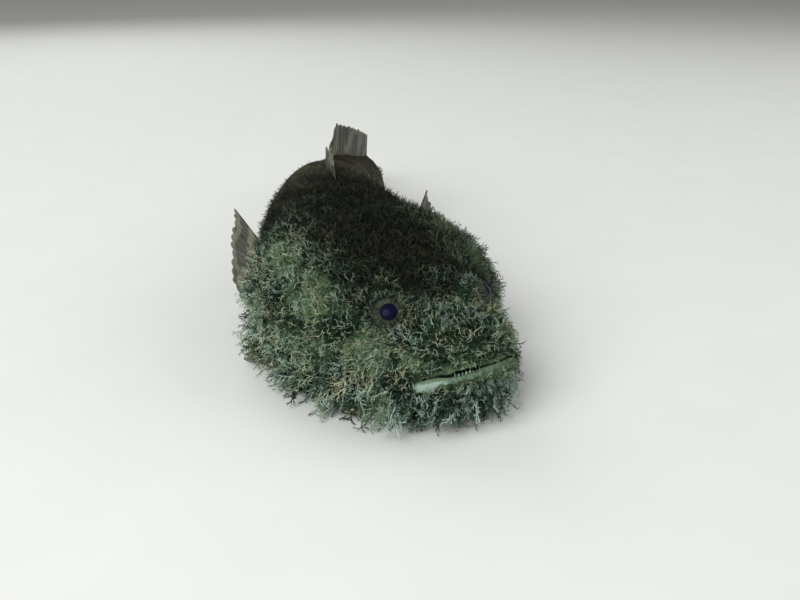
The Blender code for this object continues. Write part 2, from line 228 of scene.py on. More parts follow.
SPINE_X = -np.cumsum(np.cos(heading(SPINE_S))) * SPINE_STEP
SPINE_Y = np.cumsum(np.sin(heading(SPINE_S))) * SPINE_STEP


def to_pose(points, bend_at=None):
    """Bends straight points to the resting curve, or turns them rigidly with the body at bend_at."""
    back, y = -points[..., 0], points[..., 1]
    along = np.maximum(back, 0.0) if bend_at is None else np.full_like(back, bend_at)
    ahead = along - back
    turn = heading(along)
    x = np.interp(along, SPINE_S, SPINE_X) + ahead * np.cos(turn) + y * np.sin(turn) + ORIGIN_BACK
    side = np.interp(along, SPINE_S, SPINE_Y) - ahead * np.sin(turn) + y * np.cos(turn) - ORIGIN_LEFT
    return np.stack([x, side, points[..., 2]], axis=-1)


print("the tail ends at", to_pose(np.array([[-BODY_LENGTH, 0, 0]]))[0, :2].round(4))

# %% [markdown]
# ## Laying out the skin
# The real skin is one unbroken sheet from lip to tail, so it is one mesh here too. A grid suits it:
# rows run round the fish and columns run along it. One column on each side lies exactly on the line
# of the mouth, so the lips are sharp, and a few extra columns there turn inwards as the inside of
# the mouth. Rows and columns crowd together at the lips and round the eyes, where the detail is.

# %% Rows and columns of the skin
# The mouth seen from the side, then the line that carries it on along the flank, in mm
MOUTH_LINE = ((0, 25.0), (4, 23.6), (9, 20.6), (13, 17.0), (18, 14.0), (25, 11.0), (31, 9.0))
FLANK_LINE = ((45, 9.5), (70, 13.0), (99, 23.0), (150, 27.0), (224, 25.5), (294, 22.5))
MOUTH_CORNER = 31 * MM
MOUTH_DEPTH = 9 * MM
SHUT_GAP = 0.08 * MM
OPEN_GAP = 1.6 * MM
OPEN_SPAN = (4.2 * MM, 1.6 * MM)
GAP_FADE = 9 * MM
ROOM_FADE = 12 * MM
TAIL_ROUNDING = 6 * MM
# How far apart rows and columns lie, in mm: places, then the spacing at each. Rows go by the
# distance from the nose in mm, and columns by their share of the way round.
ROW_SPACING = ((0, 108, 140, 300), (0.55, 0.6, 1.5, 1.9))
UPPER_SPACING = ((0, 0.1, 0.14, 0.48, 0.58, 0.90, 1), (1.0, 0.9, 0.5, 0.5, 0.95, 0.7, 0.35))
LOWER_SPACING = ((0, 0.15, 0.35, 1), (0.35, 0.5, 1.0, 1.4))
UPPER_LENGTH_AT_EYES = 55
LOWER_LENGTH_AT_EYES = 34
FINE_SAMPLES = 4000


def seam_height(back):
    line = np.array(MOUTH_LINE + FLANK_LINE) * MM
    return smooth_through(line[:, 0], line[:, 1], back)


def mouth_gap(back):
    """How far the lips stand apart: most at the front, and nothing behind the corner."""
    gap = SHUT_GAP + OPEN_GAP * between(*OPEN_SPAN, back)
    return gap * between(MOUTH_CORNER, MOUTH_CORNER - GAP_FADE, back)


def spaced(length_at, spacing, end, unit=1.0):
    """Places from 0 to end that lie as far apart as the spacing says, along length_at(place)."""
    fine = end * np.linspace(0, 1, FINE_SAMPLES) ** 2
    apart = np.interp(fine / unit, *spacing) * unit
    steps = np.diff(length_at(fine)) / ((apart[1:] + apart[:-1]) / 2)
    count = np.concatenate([[0], np.cumsum(steps)])
    whole = round(count[-1])
    return np.interp(np.arange(whole + 1) / whole * count[-1], count, fine)


def outline_length(back):
    steps = np.hypot(np.diff(back), np.diff(section_at(back)[0]))
    return np.concatenate([[0], np.cumsum(steps)])


ROWS = spaced(outline_length, ROW_SPACING, BODY_LENGTH + TAIL_ROUNDING, MM)
UPPER_SHARES = spaced(lambda s: s * UPPER_LENGTH_AT_EYES, UPPER_SPACING, 1.0)
LOWER_SHARES = spaced(lambda s: s * LOWER_LENGTH_AT_EYES, LOWER_SPACING, 1.0)
# The inside of the mouth in a section: share of its depth, and height over the gap in mm
MOUTH_ROOM = ((0.12, 0.35), (0.35, 1.0), (0.7, 1.4), (1.0, 0.9),
              (1.0, -0.9), (0.7, -1.6), (0.35, -1.5), (0.12, -0.6))
print(len(ROWS), "rows,", len(UPPER_SHARES), "+", len(MOUTH_ROOM), "+", len(LOWER_SHARES), "columns a side")

# %% Points of one side of the skin
OUTLINE_SAMPLES = 260


def along_section(back, turns, shares):
    """Points at these shares of a section's outline between two turns, and how far along each is."""
    points = surface(np.full(OUTLINE_SAMPLES, back), np.linspace(*turns, OUTLINE_SAMPLES))
    run = np.concatenate([[0], np.cumsum(np.linalg.norm(np.diff(points, axis=0), axis=1))])
    places = shares * run[-1]
    return np.stack([np.interp(places, run, points[:, k]) for k in range(3)], axis=-1), places


def tail_closing(back):
    """The share of its size that a section keeps, so that the tail end is round and closed."""
    over = np.clip((back - BODY_LENGTH + TAIL_ROUNDING) / (2 * TAIL_ROUNDING), 0, 1)
    return math.sqrt(1 - over * over)


def left_side():
    """Points of the left half, with their height over the lip line along the skin, rows by columns."""
    points, over_lip = [], []
    for back in ROWS:
        height, half_gap = seam_height(back), mouth_gap(back) / 2
        upper_turn = float(turn_at_height(back, height + half_gap))
        lower_turn = float(turn_at_height(back, height - half_gap))
        upper, run = along_section(back, (math.pi / 2, upper_turn), UPPER_SHARES)
        lower, below = along_section(back, (lower_turn, -math.pi / 2), LOWER_SHARES)
        room = np.repeat((upper[-1:] + lower[:1]) / 2, len(MOUTH_ROOM), axis=0)
        ring = np.concatenate([upper, room, lower])
        middle = np.array([0, height])
        ring[:, 1:] = middle + (ring[:, 1:] - middle) * tail_closing(back)
        points.append(ring)
        over_lip.append(np.concatenate([run[-1] - run, np.zeros(len(MOUTH_ROOM)), -below]))
    return np.array(points), np.array(over_lip)


def open_mouth(points):
    """Moves the inner columns of the mouth inwards from the lips."""
    first = len(UPPER_SHARES)
    lip = points[:, first].copy()
    along = np.gradient(lip[:, :2], axis=0)
    along /= np.maximum(np.linalg.norm(along, axis=1, keepdims=True), 1e-9)
    inward = np.stack([-along[:, 1], along[:, 0], np.zeros(len(along))], axis=1)
    inward[0] = (-1, 0, 0)
    back = -lip[:, 0]
    fade_out = between(MOUTH_CORNER, MOUTH_CORNER - ROOM_FADE, back)
    for k, (share, height) in enumerate(MOUTH_ROOM):
        points[:, first + k] = lip + inward * (share * MOUTH_DEPTH * fade_out)[:, None]
        points[:, first + k, 2] += np.sign(height) * mouth_gap(back) / 2 + height * MM * fade_out
    return points


LEFT_POINTS, OVER_LIP = left_side()
LEFT_POINTS = open_mouth(LEFT_POINTS)
print("one side of the skin:", LEFT_POINTS.shape[:2], "points")

# %% Write and read the points of a mesh
STORED_AS = {"FLOAT": "value", "FLOAT_VECTOR": "vector", "FLOAT_COLOR": "color"}


def put_attribute(mesh, name, values, kind="FLOAT"):
    attribute = mesh.attributes.get(name) or mesh.attributes.new(name, kind, "POINT")
    attribute.data.foreach_set(STORED_AS[kind], np.asarray(values, np.float32).ravel())


def read_back(data, field, width=1):
    """One field of a mesh's data for every point, as an array."""
    values = np.empty(len(data) * width, np.float32)
    data.foreach_get(field, values)
    return values.reshape(-1, width).squeeze().astype(float)


def mesh_of(name, points, faces):
    mesh = bpy.data.meshes.new(name)
    mesh.from_pydata(np.asarray(points).tolist(), [], faces)
    mesh.update()
    return mesh


print("attributes are stored as", ", ".join(STORED_AS))

# %% Join the sides to one mesh
INNER_COLUMNS = range(len(UPPER_SHARES), len(UPPER_SHARES) + len(MOUTH_ROOM))
WELD_GRID = 2e-6


def grid_faces(rows, columns, first=0):
    corner = first + np.arange(rows - 1)[:, None] * columns + np.arange(columns - 1)
    return np.stack([corner, corner + columns, corner + columns + 1, corner + 1], axis=-1).reshape(-1, 4)


def without_repeats(face):
    kept = [v for k, v in enumerate(face) if v != face[k - 1]]
    return kept if len(set(kept)) == len(kept) >= 3 else None


def lay_out_skin():
    """Both sides as one mesh, welded along the back, the belly and the lips' corners."""
    rows, columns = OVER_LIP.shape
    points = np.concatenate([LEFT_POINTS.reshape(-1, 3) * (1, side, 1) for side in (1, -1)])
    row_share = np.repeat(np.arange(rows) / (rows - 1), columns)
    column_share = np.tile(np.arange(columns) / (columns - 1), rows)
    unwrap = [np.stack([0.5 + side * column_share / 2, row_share, row_share * 0], axis=1) for side in (1, -1)]
    inner = np.tile(np.isin(np.arange(columns), INNER_COLUMNS), rows)
    whole = (points / WELD_GRID).round().astype(int)
    _, first, index = np.unique(whole, axis=0, return_index=True, return_inverse=True)
    left = grid_faces(rows, columns)[:, ::-1]
    right = grid_faces(rows, columns, rows * columns)
    faces = [without_repeats(face) for face in index.reshape(-1)[np.concatenate([left, right])].tolist()]
    mesh = mesh_of("skin", points[first], [face for face in faces if face])
    put_attribute(mesh, "over_lip", np.tile(OVER_LIP.ravel(), 2)[first])
    put_attribute(mesh, "inner_mouth", np.tile(inner, 2)[first])
    put_attribute(mesh, "unwrap", np.concatenate(unwrap)[first], "FLOAT_VECTOR")
    return mesh


SKIN = lay_out_skin()
print("skin laid out:", len(SKIN.vertices), "points,", len(SKIN.polygons), "faces")

# %% [markdown]
# ## Modelling the flesh
# The grid is still the bare shape of the solids. Flesh is modelled on it by moving points along
# their normals, as a sculptor adds and takes away clay: the skin sinks by the depth of the coat,
# the lips swell, muscles bulge behind the eyes, and a soft flap edges each gill opening. Round
# the eyes the mesh is made finer first, because a neat eyelid rim needs small faces.

# %% Finer faces round the eyes
EYE_CENTRE = Vector((-30.0, 16.2, 35.1)) * MM
EYE_RADIUS = 6.6 * MM
EYE_LOOK = Vector((0.50, 0.65, 0.57)).normalized()
FINER_REACH = 9.0 * MM
WELD_DISTANCE = 0.001 * MM
SIDES = {"left": 1, "right": -1}


def mirrored(point, side):
    return Vector((point[0], point[1] * side, point[2]))


def reworked(mesh, work):
    """Changes a mesh through Blender's editing form of it."""
    bm = bmesh.new()
    bm.from_mesh(mesh)
    work(bm)
    bm.to_mesh(mesh)
    bm.free()
    mesh.shade_smooth()
    return mesh


def refine_round_eyes(bm):
    centres = [mirrored(EYE_CENTRE, side) for side in SIDES.values()]
    near = [e for e in bm.edges if min((e.verts[0].co - c).length_squared for c in centres) < FINER_REACH**2]
    bmesh.ops.subdivide_edges(bm, edges=near, cuts=1, use_grid_fill=True)


def turn_out(bm):
    """Points all faces outwards."""
    bmesh.ops.recalc_face_normals(bm, faces=bm.faces)


def weld_and_turn_out(bm):
    bmesh.ops.remove_doubles(bm, verts=bm.verts, dist=WELD_DISTANCE)
    turn_out(bm)


reworked(SKIN, refine_round_eyes)
print("skin with finer faces round the eyes:", len(SKIN.vertices), "points")

# %% Measures of every point of the skin
# In mm: distance from the nose, to the left, out from the middle, height, and down from the lip line
POINTS = read_back(SKIN.vertices, "co", 3)
NORMALS = read_back(SKIN.vertex_normals, "vector", 3)
INNER = read_back(SKIN.attributes["inner_mouth"].data, "value")
BACK = -POINTS[:, 0] / MM
LEFT = POINTS[:, 1] / MM
OUT = np.abs(LEFT)
HEIGHT = POINTS[:, 2] / MM
UNDER_LIP = -read_back(SKIN.attributes["over_lip"].data, "value") / MM


def fade(*spans):
    """For each span, a measure and the values where it is 0 and 1. All of them multiplied."""
    return math.prod(between(low, high, measure) for measure, low, high in spans)


def summed(changes):
    """What a table's rows add up to at each point: how much in each, and the spans where."""
    return sum(most * fade(*spans) for most, *spans in changes.values())


def hump(measure, middle, spread, power=2):
    """1 in the middle, falling to 0 on both sides."""
    return np.exp(-(((measure - middle) / spread) ** power))


def hill(back, out, height, long, wide):
    """1 at a place on either side of the fish, fading to 0 all round. All in mm."""
    return hump(BACK, back, long) * hump(OUT, out, wide) * hump(HEIGHT, height, wide)


def waves(length, seed, count=7):
    """Smooth random waves over the skin, between about -1 and 1, about this many mm long."""
    random = np.random.default_rng(seed)
    total = np.zeros(len(POINTS))
    for _ in range(count):
        direction = random.normal(size=3)
        direction *= random.uniform(0.7, 1.4) / np.linalg.norm(direction)
        total += np.sin(POINTS @ direction * (2 * math.pi / (length * MM)) + random.uniform(0, 2 * math.pi))
    return total / math.sqrt(count)


def ragged(measure, *ripples):
    """A measure with waves added to it: for each, how high it is, how long, and its seed."""
    return measure + sum(high * waves(long, seed) for high, long, seed in ripples)


def clipped_waves(length, seed, most=1.0):
    return np.clip(waves(length, seed), -most, most)


ON_LIPS = fade((BACK, 30, 20))
OUTER = 1 - INNER
print("points inside the mouth:", int(INNER.sum()))

# %% The bare part of the lower lip
# It is wider at one place: how much, how far from the nose, and over what length, in mm
LIP_WIDTH = 1.9
LIP_BULGE = 2.6
LIP_BULGE_PLACE = (5.4, 2.6)
LIP_BLUR = 0.6
LIP_ON_LEFT = 0.5


def bare_lip():
    """1 on the naked pale part of the lower lip, which is widest beside the front of the mouth."""
    width = LIP_WIDTH + LIP_BULGE * hump(BACK, *LIP_BULGE_PLACE)
    edge = ragged(width, (0.6, 5, 31), (0.5, 2, 32))
    across = between(edge + LIP_BLUR, edge - LIP_BLUR, UNDER_LIP) * fade((UNDER_LIP, -0.2, 0.5))
    left_share = 1 - LIP_ON_LEFT * fade((LEFT, 6, 12))
    return across * left_share * fade((ragged(BACK, (1, 4, 33)), 11, 8))


LOWER_LIP = bare_lip()
print("points on the bare lower lip:", int((LOWER_LIP > 0.5).sum()))

# %% Coat depth, lips, muscles and folds
# How deep the coat lies over the flesh, in mm, and where it changes
COAT_DEPTH = {"head": 1.9, "body": 0.7, "lips": 0.5}
ON_BODY = (BACK, 96, 125)
THIN_COAT_OF_LIPS = ((UNDER_LIP, 7, 4), (UNDER_LIP, -2.0, -0.4))
OFF_THE_FLOOR = (HEIGHT, 0.0, 5.0)
# How far each lip swells and how wide it is, in mm, with the crease under the lower one
LOWER_LIP_SWELL = (1.5, 5.2)
UPPER_LIP_SWELL = (0.8, 3.6)
LIP_ROUNDNESS = 0.7
LIP_CREASE = (-0.6, 6.4, 1.1)
# Swellings and hollows, in mm: distance from the nose, out from the middle, height, length, width, rise
MODELLING = {
    "jaw muscle": (60, 17, 50, 22, 9, 1.8),
    "groove between the muscles": (66, 0, 51, 30, 4, -1.5),
    "hollow between the eyes": (29, 0, 41, 9, 6, -2.2),
    "ridge over the eye": (40, 15, 45, 6, 5, 0.9),
    "cheek": (58, 44, 26, 16, 12, 1.6),
    "hollow under the eye": (36, 33, 25, 8, 7, -0.9),
    "snout ridge": (14, 8, 36, 6, 4, 0.9),
    "front nostril": (6, 13, 31, 1.5, 1.5, 1.8),
    "rear nostril": (19, 17, 35, 1.6, 1.6, 1.6),
    "pit of the front nostril": (6, 13, 31, 0.8, 0.8, -1.9),
    "pit of the rear nostril": (19, 17, 35, 0.8, 0.8, -1.9),
    "gill cover spine": (88, 40, 42, 6, 4, 1.2),
    "throat": (24, 10, 1, 14, 8, -0.6),
}
# Folds where the long fins leave the body: first and last distance from the nose, and whether
# they are on the back
FIN_FOLDS = {
    "spiny dorsal fin": (104, 134, True),
    "soft dorsal fin": (132, 288, True),
    "anal fin": (174, 284, False),
}
FOLD_RISE = 1.3
FOLD_WIDTH = 1.9


def coat_depth():
    depth = COAT_DEPTH["head"] + (COAT_DEPTH["body"] - COAT_DEPTH["head"]) * fade(ON_BODY)
    depth = depth + (COAT_DEPTH["lips"] - depth) * ON_LIPS * fade(*THIN_COAT_OF_LIPS)
    return depth * fade(OFF_THE_FLOOR) * OUTER


def lip_swell():
    total = LIP_CREASE[0] * hump(UNDER_LIP, *LIP_CREASE[1:])
    for (swell, width), down in ((LOWER_LIP_SWELL, UNDER_LIP), (UPPER_LIP_SWELL, -UNDER_LIP)):
        total = total + swell * np.sin(np.pi * np.clip(down / width, 0, 1)) ** LIP_ROUNDNESS
    return total * ON_LIPS * OUTER


def model_flesh():
    """How far each point of the skin moves outwards, in mm, with some unevenness on the head."""
    rise = lip_swell() - coat_depth()
    rise = rise + OUTER * sum(shape[-1] * hill(*shape[:-1]) for shape in MODELLING.values())
    head = fade((BACK, 120, 100))
    bare = 1 - np.clip(LOWER_LIP + INNER, 0, 1)
    rise = rise + bare * (waves(16, 1) * (0.25 + 0.25 * head) + waves(5, 2) * 0.22 * head)
    for first, last, on_top in FIN_FOLDS.values():
        fold = hump(OUT, 0, FOLD_WIDTH) * fade((BACK, first - 3, first + 3), (BACK, last, last - 6))
        rise = rise + FOLD_RISE * fold * ((NORMALS[:, 2] > 0) == on_top)
    return rise


FLESH_RISE = model_flesh()
print("flesh moves in or out by up to", round(float(np.abs(FLESH_RISE).max()), 1), "mm")

# %% The flap of the gill cover, and the lips of the left side
# In mm: where the edge is, how far its middle reaches back, its lowest point and how tall it is
GILL_EDGE = 98.0
GILL_BOW = 3.0
GILL_BOTTOM = 4
GILL_TALL = 40
GILL_FLAP = ((HEIGHT, 2, 7), (HEIGHT, 46, 38), (OUT, 8, 14))
BEHIND_GILL = BACK - GILL_EDGE - GILL_BOW * np.sin(np.pi * np.clip((HEIGHT - GILL_BOTTOM) / GILL_TALL, 0, 1))
GILL_SINKS = 2.6 * fade((BEHIND_GILL, -0.3, 1.0), (BEHIND_GILL, 15.0, 2.0), *GILL_FLAP)
GILL_RISES = 0.9 * fade((BEHIND_GILL, -5.0, -0.8), (BEHIND_GILL, 0.3, -0.6), *GILL_FLAP)
GILL_REACHES_BACK = 1.8 * fade((BEHIND_GILL, -4.0, -0.3), (BEHIND_GILL, 0.8, -0.3), *GILL_FLAP)
# The mouth is parted only beside the middle and on the right, so the left lips move together
LIP_CLOSING = 0.42 * hump(UNDER_LIP, 0, 2.5) * fade((LEFT, -2, 3)) * ON_LIPS * OUTER
MODELLED = POINTS + NORMALS * ((FLESH_RISE + GILL_RISES - GILL_SINKS) * MM)[:, None]
MODELLED[:, 0] -= GILL_REACHES_BACK * MM
MODELLED[:, 2] += LIP_CLOSING * mouth_gap(BACK * MM) * np.sign(UNDER_LIP)
print("flesh moved by up to", round(float(np.abs(MODELLED - POINTS).max() / MM), 1), "mm")

# %% Eye sockets and lids
LID_ANGLE = 57
LID_HEIGHT = 0.75 * MM
LID_THINNING = 0.45
MOUND_RADIUS = 8.7 * MM
MOUND_DEPTH = 3.5 * MM
MOUND_BLEND = 1.2 * MM
MOUND_ENDS = (17 * MM, 12.5 * MM)
HIDDEN_UNDER_EYE = 1.4 * MM
# Degrees past the lid's angle: where the skin comes up, where the lid thins, and where the mound is
LID_COMES_UP = (-5, 5)
LID_THINS = (8, 16)
MOUND_TAKES_OVER = (10, 34)
FLOOR_CLEARANCE = 0.2 * MM


def shape_round_eye(points, side):
    """Draws the skin in under the eyeball, up over its rim as a lid, and out again over a low mound."""
    centre = np.array(mirrored(EYE_CENTRE, side))
    away = points - centre
    reach = np.linalg.norm(away, axis=1)
    cosine = np.clip(away @ np.array(mirrored(EYE_LOOK, side)) / reach, -1, 1)
    angle = np.degrees(np.arccos(cosine))
    past_lid = angle - LID_ANGLE
    mound = -MOUND_DEPTH * cosine + np.sqrt(MOUND_RADIUS**2 - (MOUND_DEPTH * np.sin(np.radians(angle))) ** 2)
    outside = np.maximum(reach, mound) + MOUND_BLEND / 4 * np.exp(-np.abs(reach - mound) / MOUND_BLEND)
    rim = EYE_RADIUS + LID_HEIGHT * (1 - LID_THINNING * between(*LID_THINS, past_lid))
    hidden = EYE_RADIUS - HIDDEN_UNDER_EYE
    lid_line = hidden + (rim - hidden) * between(*LID_COMES_UP, past_lid)
    wanted = lid_line + (outside - lid_line) * between(*MOUND_TAKES_OVER, past_lid)
    near = between(*MOUND_ENDS, reach)
    return centre + away * (1 + (wanted / reach - 1) * near)[:, None], angle, reach


def eye_measures(points):
    shaped, angles, reaches = points, [], []
    for side in SIDES.values():
        own = points[:, 1] * side > 0
        moved, angle, reach = shape_round_eye(points, side)
        shaped = np.where(own[:, None], moved, shaped)
        angles.append(np.where(own, angle, 180))
        reaches.append(np.where(own, reach, 1))
    return shaped, np.minimum(*angles), np.minimum(*reaches) / MM


MODELLED, EYE_ANGLE, EYE_REACH = eye_measures(MODELLED)
IN_EYE = fade((EYE_ANGLE, 64, 56), (EYE_REACH, 13, 11))
MODELLED[:, 2] = np.maximum(MODELLED[:, 2], FLOOR_CLEARANCE)
SKIN.vertices.foreach_set("co", to_pose(MODELLED).astype(np.float32).ravel())
SKIN.update()
print("points under the eyes:", int((IN_EYE > 0.5).sum()))

# %% [markdown]
# ## Where the coat grows, and the markings
# The same skin tells where filaments grow, how long they are and which way they lie, and where
# the fish is pale, dark or brown, with painted shade darkening the crown, the nape and the upper
# left side. These are soft patches named by their place on the head, the same on both sides apart
# from random waves and the painted shade on the left, and are stored on the points of the skin.
# The filaments take them from the point they grow from, so skin and coat always carry one pattern.

# %% Paint the markings
# Patches, in mm: distance from the nose, out from the middle, height, length, width, strength
PALE_PATCHES = {
    "upper cheek": (78, 36, 46, 14, 9, 0.75),
    "middle of the cheek": (54, 34, 38, 13, 10, 0.85),
    "lower cheek": (50, 42, 18, 18, 12, 0.7),
    "gill cover": (78, 46, 22, 12, 12, 0.5),
    "under the eye": (26, 29, 26, 10, 9, 0.9),
    "snout side": (10, 20, 28, 7, 8, 0.5),
    "upper lip": (6, 14, 20, 9, 6, 0.75),
    "front of the snout": (1, 7, 22, 6, 9, 0.7),
    "chin": (16, 24, 8, 18, 8, 0.8),
    "front of the jaw": (1, 2, 14, 5, 5, 0.5),
    "eyebrow": (35, 14, 43, 4, 4, 0.3),
}
DARK_PATCHES = {
    "behind the eye": (43, 30, 36, 5, 6, 0.7),
    "behind and under the eye": (38, 33, 30, 6, 5, 0.9),
    "jaw spot": (3, 6, 13, 4, 6, 1.0),
    "gill cover spot": (84, 45, 30, 5, 6, 0.6),
    "between the eyes": (30, 0, 40, 9, 10, 0.6),
    "shoulder": (112, 26, 45, 10, 12, 0.6),
}
BROWN_PATCHES = {
    "cheek spot": (66, 45, 30, 5, 5, 0.4),
}
BAR_SPACING = 30
BAR_SLANT = 0.25
BAR_MIDDLE = 34


def painted(patches):
    return np.max([patch[-1] * hill(*patch[:-1]) for patch in patches.values()], axis=0)


def body_bands():
    """Broken dark bars down the trunk and tail."""
    place = ragged(BACK + BAR_SLANT * np.abs(HEIGHT - BAR_MIDDLE), (5, 30, 11), (3, 12, 15))
    return fade((np.sin(place * 2 * math.pi / BAR_SPACING), -0.1, 0.9), (BACK, 108, 132), (HEIGHT, 6, 18))


def brown_top_and_painted_shade():
    """The crown and the nape are brown, darkened further as painted shade, and the upper left side is painted
    shade.
    """
    width = ragged(OUT, (4, 14, 16), (3, 5, 18))
    # The crown and the nape are partly the fish's own brown and partly painted shade
    crown = fade((width, 42, 4), (ragged(BACK, (6, 16, 28)), 8, 50), (HEIGHT, 30, 42))
    nape = fade((ragged(BACK, (4, 14, 17)), 84, 104), (HEIGHT, 26, 46))
    # Painted shade: the upper left side, the far side of the head, is darkened as if in shade
    left = 0.85 * fade((LEFT, 8, 26), (HEIGHT, 24, 38), (BACK, 12, 34))
    return np.maximum.reduce([np.clip(1.25 * crown, 0, 1), nape, left])


SPECKLE = waves(9, 12) + 0.7 * waves(4, 13) * fade((BACK, 112, 96))
BARE = fade((ragged(BACK, (4, 12, 19)), 104, 126))
FLANK = 0.55 * BARE * fade((ragged(0, (1, 19, 25), (0.8, 8, 26)), 0.1, 1.5), (HEIGHT, 54, 42))
PALE = painted(PALE_PATCHES) * (1 + 0.25 * SPECKLE) + 0.20 * fade((SPECKLE, 0.5, 1.6)) + FLANK
DARK = painted(DARK_PATCHES) + 0.8 * body_bands() + 0.35 * fade((-SPECKLE, 0.3, 1.4))
# The brown channel holds the brown patches and also the painted shade of the crown, the nape and the upper
# left side
BROWN_AND_PAINTED_SHADE = np.maximum(painted(BROWN_PATCHES), brown_top_and_painted_shade()).clip(0, 1) * (1 - 0.45 * fade((BACK, 110, 150)))
BELLY = fade((HEIGHT - 3 * fade((BACK, 100, 140)), 12, 1.5), (BACK, 0, 12))
WHITE_LIP = hump(BACK, 5.2, 3.3, 4) * (LEFT < 0)
LIP_PALE = LOWER_LIP * (0.44 + 0.56 * WHITE_LIP * fade((ragged(UNDER_LIP, (0.4, 3, 34)), 0.1, 1.3)))
# Painted shade: the inside of the mouth is painted near black, but much less so from about 4 to 12 mm behind
# the nose
MOUTH_PAINTED_SHADE = INNER * (1 - 0.85 * fade((BACK, 3.2, 5.2), (BACK, 14, 11)))


def put_three(name, *channels):
    """Stores three numbers for each point as the red, green and blue of a colour."""
    put_attribute(SKIN, name, np.stack([*channels, np.ones(len(POINTS))], axis=1).clip(0, 1), "FLOAT_COLOR")


put_three("markings", PALE, DARK, BROWN_AND_PAINTED_SHADE)
put_three("places", LIP_PALE, BELLY, MOUTH_PAINTED_SHADE)
put_attribute(SKIN, "bare", BARE)
print("mean dark, brown, belly:", DARK.mean().round(2), BROWN_AND_PAINTED_SHADE.mean().round(2), BELLY.mean().round(2))

# %% Paint the coat: thickness, length and lie
ON_HEAD = fade((ragged(BACK, (6, 12, 24)), 150, 112))
FACING_UP = read_back(SKIN.vertex_normals, "vector", 3)[:, 2]
CLEAR_OF_BELLY = fade((HEIGHT, 1.6, 4.5)) + 0.8 * fade((FACING_UP, -0.75, -0.3)) * (BACK < 34)
CLEAR_OF_SEAM = 1 - ON_LIPS * fade((UNDER_LIP, -0.6, -0.1), (UNDER_LIP, 1.0, 0.3))
THICKNESS = ON_HEAD * np.clip(CLEAR_OF_BELLY, 0, 1) * CLEAR_OF_SEAM * (1 - IN_EYE) * OUTER
THICKNESS = THICKNESS * (1 - LOWER_LIP * (0.22 + 0.66 * WHITE_LIP)) * (0.86 + 0.14 * clipped_waves(9, 21))
# Length of the filaments in mm, and where it changes: short on the crown and the face, long low
# on the cheeks
SHORTEST = 1.2
LONGEST = 9
COAT_LENGTHS = {
    "everywhere": (2.9,),
    "low on the head": (2.3, (HEIGHT, 30, 8), (BACK, 12, 40)),
    "cheeks": (1.2, (BACK, 34, 60), (HEIGHT, 50, 38)),
    "gill cover edge": (1.8, (BACK, 82, 94), (HEIGHT, 48, 34), (BACK, 112, 104)),
    "under the lip": (1.6, (UNDER_LIP, 3, 8), (BACK, 30, 20)),
    "round the eye": (-1.1, (EYE_REACH - EYE_RADIUS / MM, 5.0, 1.5)),
    "on the lips": (-1.0, (UNDER_LIP, -4, -1), (UNDER_LIP, 5, 2), (BACK, 30, 20)),
}


def coat_length():
    length = summed(COAT_LENGTHS) * (1 + 0.25 * clipped_waves(8, 22, 1.3))
    length = length * (1 - 0.45 * fade((BACK, 98, 122)) - 0.2 * fade((BACK, 120, 150)))
    return np.clip(length, SHORTEST, LONGEST)


def unit(vectors):
    return vectors / np.maximum(np.linalg.norm(vectors, axis=1, keepdims=True), 1e-6)


def along_skin(vectors):
    """These directions laid flat on the skin."""
    return unit(vectors - NORMALS * np.sum(vectors * NORMALS, axis=1, keepdims=True))


# Unit vectors away from the eye on the same side of the fish
EYES = [np.array(mirrored(EYE_CENTRE, side)) for side in SIDES.values()]
AWAY_FROM_EYE = unit(POINTS - np.where(LEFT[:, None] > 0, *EYES))


def lie_of_coat():
    """Filaments point backwards on the crown, hang down on the sides and stand away from the eyes."""
    hang = np.maximum(fade((HEIGHT, 46, 16)), fade((BACK, 16, 4)))
    lie = along_skin(np.stack([-(1.1 - 0.7 * hang), 0 * hang, -0.15 - 0.95 * hang], axis=1))
    near = fade((EYE_REACH, 13, 8.5))[:, None]
    return lie * (1 - near) + 1.3 * along_skin(AWAY_FROM_EYE) * near


def put_lie(length, vectors):
    """Stores the length of the coat in mm and the way it lies, turned to the pose."""
    turn = heading(np.maximum(BACK, 0) * MM)
    x, y, z = vectors.T
    turned = [x * np.cos(turn) + y * np.sin(turn), y * np.cos(turn) - x * np.sin(turn), z]
    put_attribute(SKIN, "lie", np.stack(turned, axis=1), "FLOAT_VECTOR")
    put_attribute(SKIN, "coat_length", length * MM)


put_lie(coat_length(), lie_of_coat())
put_attribute(SKIN, "stand", 0.75 + 0.35 * clipped_waves(10, 23) * ON_HEAD)
print("coat length from", round(coat_length().min(), 1), "to", round(coat_length().max(), 1), "mm")

# %% [markdown]
# ## A small language for nodes
# Shader and geometry trees are easier to read as sums. The class below wraps a socket, so that
# 1 - mask or 0.5 * noise adds the Math nodes itself, and one method adds every other kind of node
# from its type, its settings and what goes into its sockets.

# %% Nodes as expressions
class Value:
    """A socket of a node tree that can stand in a Python expression."""

    def __init__(self, nodes, socket):
        self.nodes = nodes
        self.socket = socket

    def maths(self, operation, *values):
        return self.nodes.add("ShaderNodeMath", {"operation": operation}, dict(enumerate(values)))

    def output(self, name):
        """Another output of the node that this one comes from."""
        return Value(self.nodes, self.socket.node.outputs[name])

    def __add__(self, other):
        return self.maths("ADD", self, other)

    __radd__ = __add__

    def __sub__(self, other):
        return self.maths("SUBTRACT", self, other)

    def __rsub__(self, other):
        return self.maths("SUBTRACT", other, self)

    def __mul__(self, other):
        return self.maths("MULTIPLY", self, other)

    __rmul__ = __mul__

    def sine(self):
        return self.maths("SINE", self)


